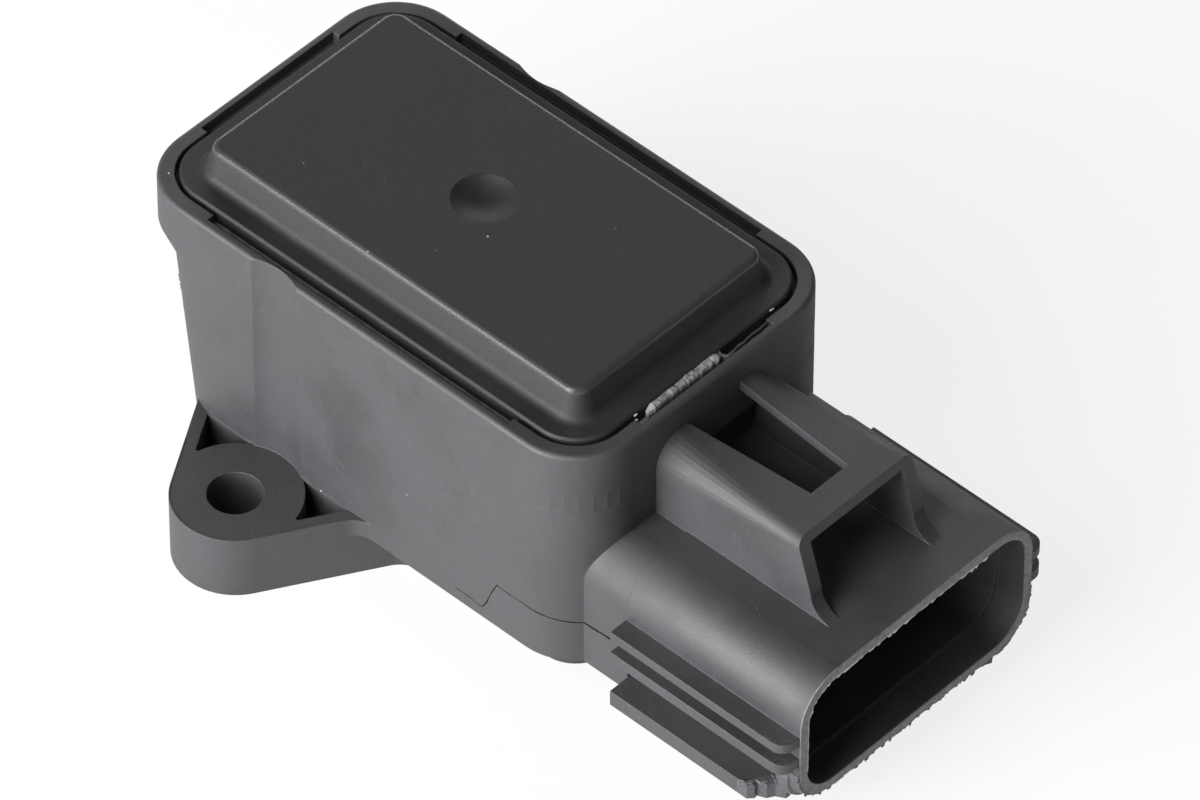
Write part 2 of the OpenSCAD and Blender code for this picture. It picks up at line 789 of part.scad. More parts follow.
// Two pairs of arcs under the board, one pair for each wiper
module resistive_tracks() {
    span = travel + 2 * track_past;
    color("#1b1b1d") translate([0, 0, board_z - track_t])
        for (middle = [0, 180], r = [track_in_r, track_out_r])
            rotate([0, 0, middle - span / 2]) rotate_extrude(angle = span)
                translate([r - track_w / 2, 0]) square([track_w, track_t]);
}

// A row of chips across the board, each a body between two metal ends
module chip_line(x, h) {
    end = chip_l / 5;
    for (i = [0 : 3]) translate([rotor_set + x, (i - 1.5) * chip_pitch, board_top]) {
        translate([-chip_l / 2, -chip_w / 2, 0]) cube([chip_l, chip_w, h - 0.05]);
        for (side = [-1, 1])
            translate([side * (chip_l - end) / 2, 0, h / 2]) cube([end, chip_w + 0.06, h], center = true);
    }
}

module chip_capacitors() {
    color("#a98d63") chip_line(carrier_x - chip_row, capacitor_h);
}

module chip_resistors() {
    color("#1d1f24") chip_line(carrier_x - 2 * chip_row, resistor_h);
}

module terminal_carrier() {
    color(moulding) translate([rotor_set + carrier_x, 0, floor_z]) difference() {
        translate([0, -carrier_w / 2, 0]) cube([carrier_l, carrier_w, carrier_h]);
        for (i = [0 : pins - 1])
            translate([carrier_l / 2, (i - (pins - 1) / 2) * pin_pitch, pin_z - floor_z])
                cube([carrier_l + over, pin_w + 2 * pin_gap, pin_t + 2 * pin_gap], center = true);
    }
}

// A stamped blade: pointed in the socket, turned up to the board inside the body
module terminal(i) {
    tip = mouth_x - pin_back;
    half = pin_t / 2;
    top = board_top + 1 - pin_z;
    color(brass_tin) translate([rotor_set, (i - (pins - 1) / 2) * pin_pitch, pin_z])
        across_y(pin_w) polygon([
            [leg_x, -half], [tip - pin_point, -half], [tip, -half / 2], [tip, half / 2],
            [tip - pin_point, half], [leg_x + pin_t, half], [leg_x + pin_t, top], [leg_x, top]
        ]);
}

module rotor() {
    color("#e6dfc8") difference() {
        union() {
            translate([0, 0, hub_z]) cylinder(h = disc_z - hub_z + over, r = hub_r);
            translate([0, 0, collar_z]) cylinder(h = collar_h + over, r = collar_r);
            translate([0, 0, disc_z]) cylinder(h = disc_t, r = disc_r);
            translate([0, 0, disc_z]) cylinder(h = disc_t + 1.2, r = hub_r - 1.5);
            rotate([0, 0, lug_angle]) {
                translate([disc_r - over, -lug_w / 2, disc_z])
                    cube([lug_reach - disc_r + over, lug_w, disc_t]);
                translate([disc_r + 0.4, -prong_w / 2, disc_z - prong_h])
                    cube([lug_reach - disc_r - 0.6, prong_w, prong_h + over]);
            }
        }
        translate([0, 0, hub_z - over]) cylinder(h = drive_lead + over, r = drive_r + drive_step);
        translate([0, 0, hub_z]) intersection() {
            cylinder(h = drive_d, r = drive_r);
            translate([-drive_r - over, -drive_r - over, 0])
                cube([drive_r + over + drive_flat, 2 * drive_r + 2 * over, drive_d]);
        }
        translate([0, 0, ring_z]) difference() {
            cylinder(h = ring_t + end_play, r = hub_r + over);
            translate([0, 0, -over]) cylinder(h = ring_t + end_play + 2 * over, r = hub_r - groove_d);
        }
    }
}

// Stamped contact with one bent finger for each of its two tracks
module wiper(angle) {
    rise = wiper_room - track_t - wiper_gap;
    seat = wiper_foot / 2;
    tip = wiper_t * 3;
    color(copper) rotate([0, 0, angle]) translate([0, 0, disc_top]) {
        translate([track_in_r - finger_w, -seat, 0])
            cube([track_out_r - track_in_r + 2 * finger_w, wiper_foot, wiper_t]);
        for (r = [track_in_r, track_out_r])
            translate([r + finger_w / 2, 0, 0]) rotate([0, 0, 180]) rotate([90, 0, -90])
                linear_extrude(finger_w) polygon([
                    [-seat, 0], [seat, 0], [finger_l, rise - wiper_t],
                    [finger_l + tip, rise - 2 * wiper_t], [finger_l + tip, rise - wiper_t],
                    [finger_l, rise], [seat - wiper_t / 3, wiper_t], [-seat, wiper_t]
                ]);
    }
}

// Middle line of the spring: first leg, coils, second leg
function polar(r, a, z) = [r * cos(a), r * sin(a), z];
coil_steps = 56;
spring_path = concat(
    [for (d = [leg_l, leg_l / 2, leg_bend]) polar(spring_r + d, coil_start, coil_z)],
    [polar(spring_r + leg_bend * 0.3, coil_start + 1.2, coil_z)],
    [for (i = [1 : coil_steps]) let (t = i / (coil_steps + 1))
        polar(spring_r, coil_start + coil_turn * t, coil_z + coil_rise * t)],
    [polar(spring_r + leg_bend * 0.3, coil_end - 1.2, coil_z + coil_rise)],
    [for (d = [leg_bend, leg_l / 2, leg_l]) polar(spring_r + d, coil_end, coil_z + coil_rise)]
);

// Round wire along a path that stays nearly level
module wire_sweep(path, r, sides) {
    n = len(path);
    rings = [for (i = [0 : n - 1]) let (
        ahead = path[min(i + 1, n - 1)] - path[max(i - 1, 0)],
        along = ahead / norm(ahead),
        across = cross([0, 0, 1], along) / norm(cross([0, 0, 1], along)),
        up = cross(along, across)
    ) [for (k = [0 : sides - 1]) let (a = 360 * k / sides)
        path[i] + r * (cos(a) * across + sin(a) * up)]];
    polyhedron(
        points = [for (ring = rings, p = ring) p],
        faces = concat(
            [[for (k = [0 : sides - 1]) k]],
            [for (i = [0 : n - 2], k = [0 : sides - 1]) let (m = (k + 1) % sides)
                [i * sides + m, i * sides + k, (i + 1) * sides + k, (i + 1) * sides + m]],
            [[for (k = [sides - 1 : -1 : 0]) (n - 1) * sides + k]]
        )
    );
}

module return_spring() {
    color(steel) wire_sweep(spring_path, wire_d / 2, 8);
}

module rotor_bush() {
    color(brass_tin) translate([0, 0, recess_h]) difference() {
        cylinder(h = boss_top - recess_h, r = bush_r - seat_gap);
        translate([0, 0, -over]) cylinder(h = boss_top - recess_h + 2 * over, r = hub_r + run_gap);
    }
}

module thrust_washer() {
    color(steel) translate([0, 0, washer_z]) difference() {
        cylinder(h = washer_t, r = recess_r - 0.3);
        translate([0, 0, -over]) cylinder(h = washer_t + 2 * over, r = hub_r + 0.2);
    }
}

module retaining_ring() {
    opening = 50;
    color(steel) translate([0, 0, ring_z + end_play / 2]) rotate([0, 0, 90 + opening / 2])
        rotate_extrude(angle = 360 - opening)
            translate([hub_r - groove_d + seat_gap, 0]) square([ring_r - hub_r + groove_d, ring_t]);
}

// Lip seal: a shell pressed into the recess and a lip that leans to the hub
module shaft_seal() {
    inner = hub_r + 0.15;
    outer = recess_r - seat_gap;
    color(rubber) translate([0, 0, seal_z]) rotate_extrude() polygon([
        [outer, 0], [outer, seal_h], [outer - 1, seal_h], [outer - 1, seal_h / 2],
        [inner + 0.6, seal_h / 2 + 0.3], [inner, 0.6], [inner + 0.3, 0]
    ]);
}

module flange_o_ring() {
    color(rubber) translate([0, 0, o_ring_d / 2 + 0.05])
        rotate_extrude() translate([o_ring_r, 0]) circle(o_ring_d / 2);
}

housing();
cover();
sealant_bead();
track_board();
resistive_tracks();
chip_capacitors();
chip_resistors();
terminal_carrier();
terminal(0);  // terminal_1
terminal(1);  // terminal_2
terminal(2);  // terminal_3
terminal(3);  // terminal_4
terminal(4);  // terminal_5
terminal(5);  // terminal_6
rotor();
wiper(lug_angle + 180);  // wiper_a
wiper(lug_angle);  // wiper_b
return_spring();
rotor_bush();
thrust_washer();
retaining_ring();
shaft_seal();
flange_o_ring();
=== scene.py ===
"""Looks of a throttle position sensor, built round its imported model.

Every sub-assembly is a class that dresses its own solids and adds the small pieces that only
show close up: the flash, the burrs, the torn rib, the parting line and the sealant squeezed out
at the cover. Shared surface effects are node groups, which each finish places with its values.
All sizes are in millimetres until they reach Blender, which works in metres.
"""

import logging
import math
import random
from dataclasses import dataclass, field
from enum import Enum
from typing import Callable, Dict, List, Mapping, Optional, Sequence, Tuple, Union

import bmesh
import bpy
from mathutils import Matrix, Vector, noise


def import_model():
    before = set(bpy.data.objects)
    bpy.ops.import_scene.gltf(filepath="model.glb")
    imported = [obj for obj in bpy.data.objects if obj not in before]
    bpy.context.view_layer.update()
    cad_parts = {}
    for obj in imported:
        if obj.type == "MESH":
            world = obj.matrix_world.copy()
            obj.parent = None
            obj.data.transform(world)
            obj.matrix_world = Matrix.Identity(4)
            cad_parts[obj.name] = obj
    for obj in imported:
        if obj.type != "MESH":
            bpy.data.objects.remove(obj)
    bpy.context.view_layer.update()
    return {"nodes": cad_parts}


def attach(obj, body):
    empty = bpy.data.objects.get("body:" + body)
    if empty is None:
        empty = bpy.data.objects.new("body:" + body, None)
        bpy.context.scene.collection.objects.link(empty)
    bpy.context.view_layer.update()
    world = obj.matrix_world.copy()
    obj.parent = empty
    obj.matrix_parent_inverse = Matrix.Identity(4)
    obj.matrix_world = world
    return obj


LOG = logging.getLogger("throttle_sensor")
MM = 0.001
UP = Vector((0.0, 0.0, 1.0))
TO_PLUG = Vector((1.0, 0.0, 0.0))

Node = bpy.types.Node
Socket = bpy.types.NodeSocket
Sockets = Mapping[str, Socket]
Feed = Union[float, int, Sequence[float], Socket]
Colour = Tuple[float, float, float]
Point = Tuple[float, float, float]
Pair = Tuple[float, float]
Spots = Tuple[Pair, ...]
Ring = List[Vector]
Edge = Sequence[Tuple[Vector, Vector]]


class Body(Enum):
    """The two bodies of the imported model."""

    HOUSING = "sensor_housing"
    ROTOR = "rotor"


class Wiring:
    """Adds nodes to one node tree and joins them."""

    def __init__(self, tree: bpy.types.NodeTree) -> None:
        """Keeps the tree.

        Args:
            tree: The node tree that gets the nodes.
        """
        self.tree = tree

    def node(self, kind: str, feeds: Optional[Mapping[Union[str, int], Feed]] = None,
             **settings: object) -> Node:
        """Adds one node.

        Args:
            kind: Blender's name of the node type.
            feeds: What goes into its inputs, by name or place.
            settings: Values of the node's own options.

        Returns:
            The new node.
        """
        made = self.tree.nodes.new(kind)
        for option, value in settings.items():
            setattr(made, option, value)
        for key, value in (feeds or {}).items():
            self.feed(made.inputs[key], value)
        return made

    def feed(self, socket: Socket, value: Feed) -> None:
        """Joins a socket to an input, or sets the input's value.

        Args:
            socket: The input.
            value: Another node's output, or a plain value.
        """
        if isinstance(value, Socket):
            self.tree.links.new(value, socket)
        else:
            socket.default_value = value

    def maths(self, operation: str, *values: Feed) -> Socket:
        """Adds one maths node, which holds MULTIPLY_ADD between 0 and 1.

        Args:
            operation: Blender's name of the operation.
            values: What it works on.

        Returns:
            The result.
        """
        made = self.node("ShaderNodeMath", dict(enumerate(values)), operation=operation)
        made.use_clamp = operation == "MULTIPLY_ADD"
        return made.outputs[0]

    def product(self, first: Feed, *others: Feed) -> Feed:
        """Multiplies values one after another.

        Args:
            first: The first value.
            others: The other values.

        Returns:
            The product.
        """
        for other in others:
            first = self.maths("MULTIPLY", first, other)
        return first

    def gap(self, first: Feed, second: Feed) -> Socket:
        """Returns how far apart two values are."""
        return self.maths("ABSOLUTE", self.maths("SUBTRACT", first, second))

    def spread(self, value: Feed, low: float, high: float, to_low: Feed = 0.0,
               to_high: Feed = 1.0) -> Socket:
        """Maps a value smoothly from one range to another.

        Args:
            value: What is mapped.
            low: Where the first range starts.
            high: Where it ends.
            to_low: What its start becomes.
            to_high: What its end becomes.

        Returns:
            The mapped value.
        """
        made = self.node("ShaderNodeMapRange", {
            "Value": value, "From Min": low, "From Max": high, "To Min": to_low, "To Max": to_high,
        }, interpolation_type="SMOOTHSTEP")
        return made.outputs["Result"]

    def tint(self, share: Feed, first: Feed, second: Feed) -> Socket:
        """Mixes two colours.

        Args:
            share: How much of the second colour shows.
            first: The first colour.
            second: The second colour.

        Returns:
            The mixed colour.
        """
        made = self.node("ShaderNodeMix", data_type="RGBA")
        for place, value in ((0, share), (6, first), (7, second)):
            self.feed(made.inputs[place], (*value, 1.0) if isinstance(value, tuple) else value)
        return made.outputs[2]

    def place_mm(self) -> Socket:
        """Returns the point on the piece, in millimetres."""
        spot = self.node("ShaderNodeTexCoord").outputs["Object"]
        return self.node("ShaderNodeVectorMath", {0: spot, "Scale": 1.0 / MM}, operation="SCALE").outputs[0]

    def parts(self, vector: Feed) -> Sockets:
        """Returns a vector's X, Y and Z."""
        return self.node("ShaderNodeSeparateXYZ", {0: vector}).outputs

    def facing(self) -> Sockets:
        """Returns the X, Y and Z of the way that the surface faces."""
        return self.parts(self.node("ShaderNodeNewGeometry").outputs["Normal"])

    def cloud(self, at: Feed, pitch: Feed, detail: float = 2.0, rough: float = 0.5) -> Socket:
        """Makes soft noise.

        Args:
            at: The point, in millimetres.
            pitch: Blobs in a millimetre.
            detail: How many finer layers it has.
            rough: How strong those are.

        Returns:
            A value about 0.5.
        """
        made = self.node("ShaderNodeTexNoise", {
            "Vector": at, "Scale": pitch, "Detail": detail, "Roughness": rough,
        })
        return made.outputs[0]

    def stretched(self, at: Feed, turn: float, shape: Point) -> Socket:
        """Turns and stretches a point, for streaks that run one way.

        Args:
            at: The point.
            turn: The angle about the upright axis, in degrees.
            shape: How many times finer the pattern gets along each axis.

        Returns:
            The new point.
        """
        turned = self.node("ShaderNodeVectorRotate", {"Vector": at, "Angle": math.radians(turn)})
        made = self.node("ShaderNodeVectorMath", {0: turned.outputs[0], 1: shape}, operation="MULTIPLY")
        return made.outputs[0]

    def bump(self, height: Feed, depth: float, normal: Optional[Socket] = None) -> Socket:
        """Makes relief.

        Args:
            height: How high each place is, from 0 to 1.
            depth: The depth between those, in millimetres.
            normal: The normal under the relief, where that isn't the surface's own.

        Returns:
            The normal of the relief.
        """
        made = self.node("ShaderNodeBump", {"Height": height, "Distance": depth * MM})
        if normal is not None:
            self.feed(made.inputs["Normal"], normal)
        return made.outputs[0]

    def dress(self, shader: Node, colour: Socket, rough: Socket, normal: Socket) -> None:
        """Feeds a shader what changes over the surface.

        Args:
            shader: The material's main shader.
            colour: The surface's colour.
            rough: Its roughness.
            normal: Its normal.
        """
        for name, value in (("Base Color", colour), ("Roughness", rough), ("Normal", normal)):
            self.feed(shader.inputs[name], value)


class SurfaceEffect:
    """One shared effect, kept as a node group and built the first time it is placed."""

    title: str = ""
    takes: Dict[str, float] = {}
    gives: Tuple[str, ...] = ()

    def wire(self, web: Wiring, takes: Sockets) -> Sockets:
        """Builds the inside of the group.

        Args:
            web: The group's tree.
            takes: The group's inputs, by name.

        Returns:
            What comes out, by name.
        """
        raise NotImplementedError

    def group(self) -> bpy.types.NodeTree:
        """Finds the group, or builds it where there is none yet.

        Returns:
            The group.
        """
        found = bpy.data.node_groups.get(self.title)
        if found is not None:
            return found
        tree = bpy.data.node_groups.new(self.title, "ShaderNodeTree")
        for name, value in self.takes.items():
            socket = tree.interface.new_socket(name=name, in_out="INPUT", socket_type="NodeSocketFloat")
            socket.default_value = value
        for name in self.gives:
            kind = "NodeSocketVector" if name == "Normal" else "NodeSocketFloat"
            tree.interface.new_socket(name=name, in_out="OUTPUT", socket_type=kind)
        web = Wiring(tree)
        takes, out = web.node("NodeGroupInput"), web.node("NodeGroupOutput")
        for name, socket in self.wire(web, takes.outputs).items():
            web.feed(out.inputs[name], socket)
        return tree

    def place(self, web: Wiring, **values: Feed) -> Sockets:
        """Puts the group in a material.

        Args:
            web: The material's tree.
            values: The inputs, with underscores for spaces.

        Returns:
            The group's outputs.
        """
        made = web.node("ShaderNodeGroup", node_tree=self.group())
        for name, value in values.items():
            web.feed(made.inputs[name.replace("_", " ")], value)
        return made.outputs


class MouldedSkin(SurfaceEffect):
    """Fine spark-eroded grain, slow flow marks and the pale flecks of glass fibre."""

    title = "moulded_skin"
    takes = {"Grain Pitch": 6.0, "Flow Pitch": 0.12, "Fleck Share": 0.3}
    gives = ("Height", "Flow", "Flecks")

    def wire(self, web: Wiring, takes: Sockets) -> Sockets:
        """Builds the grain, the flow marks and the flecks.

        Args:
            web: The group's tree.
            takes: The group's inputs, by name.

        Returns:
            What comes out, by name.
        """
        at = web.place_mm()
        grain = web.cloud(at, takes["Grain Pitch"], detail=3.0, rough=0.62)
        pits = web.node("ShaderNodeTexVoronoi", {"Vector": at, "Scale": takes["Grain Pitch"]})
        dents = web.spread(pits.outputs["Distance"], 0.05, 0.5)
        height = web.maths("MULTIPLY_ADD", grain, 0.7, web.product(dents, 0.3))
        flow = web.spread(web.cloud(at, takes["Flow Pitch"], detail=4.0, rough=0.55), 0.32, 0.68)
        streak = web.cloud(web.stretched(at, turn=20.0, shape=(1.0, 5.0, 3.0)), 1.6, rough=0.7)
        fleck = web.product(web.spread(streak, 0.6, 0.72), takes["Fleck Share"])
        return {"Height": height, "Flow": flow, "Flecks": fleck}


class LitEdges(SurfaceEffect):
    """The small rounding that every real edge has, and a mask of where it is, which the finishes use to paint
    a highlight along the edges.
    """

    title = "lit_edges"
    takes = {"Rounding": 0.2, "Gain": 3.0}
    gives = ("Normal", "Edge")

    def wire(self, web: Wiring, takes: Sockets) -> Sockets:
        """Compares the rounded normal with the true one.

        Args:
            web: The group's tree.
            takes: The group's inputs, by name.

        Returns:
            What comes out, by name.
        """
        radius = web.product(takes["Rounding"], MM)
        rounded = web.node("ShaderNodeBevel", {"Radius": radius}, samples=6).outputs[0]
        true = web.node("ShaderNodeNewGeometry").outputs["Normal"]
        along = web.node("ShaderNodeVectorMath", {0: rounded, 1: true}, operation="DOT_PRODUCT")
        turned = web.maths("SUBTRACT", 1.0, along.outputs["Value"])
        patches = web.cloud(web.place_mm(), 0.9, detail=4.0, rough=0.6)
        uneven = web.spread(patches, 0.3, 0.62, to_low=0.35)
        edge = web.product(turned, takes["Gain"], uneven)
        return {"Normal": rounded, "Edge": web.spread(edge, 0.0, 1.0)}


class SettledDust(SurfaceEffect):
    """Single pale specks, mostly on faces that look up."""

    title = "settled_dust"
    takes = {"Pitch": 0.9, "Share": 0.1}
    gives = ("Specks",)

    def wire(self, web: Wiring, takes: Sockets) -> Sockets:
        """Keeps a few cells, each with one speck.

        Args:
            web: The group's tree.
            takes: The group's inputs, by name.

        Returns:
            What comes out, by name.
        """
        cells = web.node("ShaderNodeTexVoronoi", {"Vector": web.place_mm(), "Scale": takes["Pitch"]})
        pick = web.node("ShaderNodeSeparateColor", {"Color": cells.outputs["Color"]}).outputs
        kept = web.maths("LESS_THAN", pick["Red"], takes["Share"])
        speck = web.maths("LESS_THAN", cells.outputs["Distance"], web.product(pick["Green"], 0.09))
        looks_up = web.spread(web.facing()["Z"], -0.2, 0.8, to_low=0.25)
        return {"Specks": web.product(kept, speck, looks_up)}


class RubbedHighlightShoulder(SurfaceEffect):
    """A mask of the turned edge round a raised oblong face, which handling polishes and where a painted
    highlight lightens the colour.
    """

    title = "rubbed_highlight_shoulder"
    takes = {"Height": 35.4, "Depth": 0.6, "Middle": 9.7, "Half Length": 17.0, "Half Width": 9.0}
    gives = ("Rubbed_Highlight",)

    def wire(self, web: Wiring, takes: Sockets) -> Sockets:
        """Keeps what lies just below the raised face, near its edge, and has turned from it.

        Args:
            web: The group's tree.
            takes: The group's inputs, by name.

        Returns:
            What comes out, by name.
        """
        place = web.parts(web.place_mm())
        below = web.maths("SUBTRACT", takes["Height"], place["Z"])
        near = web.maths("LESS_THAN", below, takes["Depth"])
        turned = web.spread(web.facing()["Z"], 0.995, 0.97)
        far = web.maths(
            "MAXIMUM", web.maths("GREATER_THAN", web.gap(place["X"], takes["Middle"]), takes["Half Length"]),
            web.maths("GREATER_THAN", web.maths("ABSOLUTE", place["Y"]), takes["Half Width"]))
        return {"Rubbed_Highlight": web.product(near, turned, far)}


class ScuffedHighlightMouth(SurfaceEffect):
    """A mask of the mouth's end face, which plugs have scuffed and where a painted highlight makes it pale.
    """

    title = "scuffed_highlight_mouth"
    takes = {"End": 63.7, "Depth": 0.12}
    gives = ("Scuffed_Highlight",)

    def wire(self, web: Wiring, takes: Sockets) -> Sockets:
        """Keeps what lies at the end, unevenly.

        Args:
            web: The group's tree.
            takes: The group's inputs, by name.

        Returns:
            What comes out, by name.
        """
        at = web.place_mm()
        back = web.maths("SUBTRACT", takes["End"], web.parts(at)["X"])
        near = web.maths("LESS_THAN", back, takes["Depth"])
        uneven = web.spread(web.cloud(at, 1.6, detail=4.0, rough=0.65), 0.3, 0.6, to_low=0.45)
        return {"Scuffed_Highlight": web.product(near, uneven)}


class HairScratches(SurfaceEffect):
    """Short hairline scratches that lie two ways and come in patches."""

    title = "hair_scratches"
    takes = {"Share": 0.5}
    gives = ("Scratch",)

    def wire(self, web: Wiring, takes: Sockets) -> Sockets:
        """Takes thin bands out of two stretched noises.

        Args:
            web: The group's tree.
            takes: The group's inputs, by name.

        Returns:
            What comes out, by name.
        """
        at = web.place_mm()
        lines: List[Socket] = []
        for turn, shape in ((38.0, (0.16, 2.6, 0.3)), (-22.0, (0.22, 3.4, 0.3))):
            run = web.cloud(web.stretched(at, turn, shape), 1.0, detail=1.0, rough=0.4)
            lines.append(web.spread(web.gap(run, 0.64), 0.012, 0.002))
        patch = web.spread(web.cloud(at, 0.14, detail=3.0, rough=0.6), 0.5, 0.62)
        return {"Scratch": web.product(web.maths("MAXIMUM", *lines), patch, takes["Share"])}


class WorkedMetal(SurfaceEffect):
    """Fine lines that rolling, drawing or stamping leaves, with dull patches."""

    title = "worked_metal"
    takes = {"Line Pitch": 9.0, "Patch Pitch": 0.5}
    gives = ("Height", "Dull")

    def wire(self, web: Wiring, takes: Sockets) -> Sockets:
        """Stretches one noise along the strip and adds a soft one.

        Args:
            web: The group's tree.
            takes: The group's inputs, by name.

        Returns:
            What comes out, by name.
        """
        at = web.place_mm()
        run = web.stretched(at, turn=0.0, shape=(0.12, 1.0, 1.0))
        lines = web.cloud(run, takes["Line Pitch"], detail=3.0, rough=0.6)
        dull = web.spread(web.cloud(at, takes["Patch Pitch"], detail=5.0, rough=0.6), 0.35, 0.7)
        return {"Height": lines, "Dull": dull}


def shader_of(name: str) -> Tuple[bpy.types.Material, Wiring, Node]:
    """Starts a material.

    Args:
        name: The material's name.

    Returns:
        The material, its tree and its main shader.
    """
    made = bpy.data.materials.new(name)
    made.use_nodes = True
    return made, Wiring(made.node_tree), made.node_tree.nodes["Principled BSDF"]


@dataclass(frozen=True)
class Finish:
    """What every finish shares.

    Attributes:
        name: The material's name.
    """

    name: str

    def wire(self, web: Wiring, shader: Node) -> None:
        """Adds the finish's own nodes.

        Args:
            web: The material's tree.
            shader: Its main shader.
        """
        raise NotImplementedError

    def make(self) -> bpy.types.Material:
        """Makes the material.

        Returns:
            The material.
        """
        made, web, shader = shader_of(self.name)
        self.wire(web, shader)
        LOG.info("%s: finish made, %d nodes", self.name, len(made.node_tree.nodes))
        return made


@dataclass(frozen=True)
class MouldedFinish(Finish):
    """Moulded black or coloured plastic.

    Attributes:
        colour: The plastic's own colour.
        worn_and_highlight: Its colour on the glass-fibre flecks and the scratches, and the painted highlight
            along the edges and the rubbed edge.
        rough: Roughness of the smoothest and the dullest places.
        grain_pitch: Grains in a millimetre.
        grain_depth: Depth of the grain, in millimetres.
        flow_pitch: Flow marks in a millimetre.
        flow_dark: How dark the flow marks are, as a share of the colour.
        rounding: Rounding of the edges, in millimetres.
        edge_gain: How strongly the painted highlight along the edges shows.
        fleck: Strength of the glass-fibre flecks.
        dust: Share of the places that hold a speck.
        dust_colour: Colour of the specks.
        dust_rough: Their roughness.
        scratch: Strength of the hairline scratches.
        scratch_rough: How much duller a scratch is.
        scratch_height: How high a scratch lies, as a share of the grain's depth.
        rubbed: Roughness of the raised face's polished edge, or nothing where there is none.
        rubbed_highlight_tint: How far that edge's colour goes towards the paler colour, a painted highlight.
        sheen: How strongly the surface mirrors.
        scuffed_highlight: Colour of the mouth's end face, paler from scuffing and from a painted highlight,
            or nothing where there is none.
    """

    colour: Colour
    worn_and_highlight: Colour
    rough: Pair = (0.5, 0.62)
    grain_pitch: float = 5.0
    grain_depth: float = 0.02
    flow_pitch: float = 0.1
    flow_dark: float = 0.82
    rounding: float = 0.2
    edge_gain: float = 2.0
    fleck: float = 0.35
    dust: float = 0.03
    dust_colour: Colour = (0.5, 0.49, 0.47)
    dust_rough: float = 0.9
    scratch: float = 0.25
    scratch_rough: float = 0.2
    scratch_height: float = -0.4
    rubbed: Optional[float] = None
    rubbed_highlight_tint: float = 0.5
    sheen: float = 0.5
    scuffed_highlight: Optional[Colour] = None

    def wire(self, web: Wiring, shader: Node) -> None:
        """Adds the plastic's skin, the rounded edges with their painted highlight, dust and scratches.

        Args:
            web: The material's tree.
            shader: Its main shader.
        """
        skin = MouldedSkin().place(web, Grain_Pitch=self.grain_pitch, Flow_Pitch=self.flow_pitch,
                                   Fleck_Share=self.fleck)
        edges = LitEdges().place(web, Rounding=self.rounding, Gain=self.edge_gain)
        specks = SettledDust().place(web, Share=self.dust)["Specks"]
        scratch = HairScratches().place(web, Share=self.scratch)["Scratch"]
        base = web.tint(skin["Flow"], tuple(c * self.flow_dark for c in self.colour), self.colour)
        # Pale glass-fibre flecks, and a painted highlight along the edges where they catch the light.
        base = web.tint(web.maths("MAXIMUM", skin["Flecks"], edges["Edge"]), base, self.worn_and_highlight)
        base = web.tint(scratch, base, self.worn_and_highlight)
        base = web.tint(specks, base, self.dust_colour)
        rough = web.spread(skin["Flow"], 0.0, 1.0, *self.rough)
        rough = web.maths("MULTIPLY_ADD", scratch, self.scratch_rough, rough)
        # The rubbed edge: polishing lowers the roughness, and the tint paints a highlight along it.
        if self.rubbed is not None:
            mask = RubbedHighlightShoulder().place(web)["Rubbed_Highlight"]
            rough = web.spread(mask, 0.0, 1.0, rough, self.rubbed)
            base = web.tint(web.product(mask, self.rubbed_highlight_tint), base, self.worn_and_highlight)
        # The mouth's end face: a paler colour that is scuffing and a painted highlight.
        if self.scuffed_highlight is not None:
            base = web.tint(ScuffedHighlightMouth().place(web)["Scuffed_Highlight"], base, self.scuffed_highlight)
        rough = web.maths("MAXIMUM", rough, web.product(specks, self.dust_rough))
        relief = web.maths("MULTIPLY_ADD", scratch, self.scratch_height, skin["Height"])
        web.dress(shader, base, rough, web.bump(relief, self.grain_depth, edges["Normal"]))
        shader.inputs["Specular IOR Level"].default_value = self.sheen


@dataclass(frozen=True)
class SealantFinish(Finish):
    """Cured grey adhesive, cloudy and lumpy.

    Attributes:
        colour: Its main colour.
        pale: Its colour where it was stretched thin.
        fleck: Colour of its pale flecks.
        rough: Roughness of the smoothest and the dullest places.
        lump_pitch: Lumps in a millimetre.
        lump_depth: Depth of the lumps, in millimetres.
        glow: How much light goes into it.
        glow_depth: How deep that goes, in millimetres.
    """

    colour: Colour
    pale: Colour
    fleck: Colour = (0.5, 0.5, 0.49)
    rough: Pair = (0.35, 0.6)
    lump_pitch: float = 2.2
    lump_depth: float = 0.12
    glow: float = 0.15
    glow_depth: float = 0.4

    def wire(self, web: Wiring, shader: Node) -> None:
        """Adds the lumps, the clouds and the flecks.

        Args:
            web: The material's tree.
            shader: Its main shader.
        """
        skin = MouldedSkin().place(web, Grain_Pitch=self.lump_pitch, Flow_Pitch=0.9, Fleck_Share=0.2)
        base = web.tint(skin["Flecks"], web.tint(skin["Flow"], self.colour, self.pale), self.fleck)
        rough = web.spread(skin["Height"], 0.2, 0.8, *self.rough)
        web.dress(shader, base, rough, web.bump(skin["Height"], self.lump_depth))
        shader.inputs["Subsurface Weight"].default_value = self.glow
        shader.inputs["Subsurface Scale"].default_value = self.glow_depth * MM


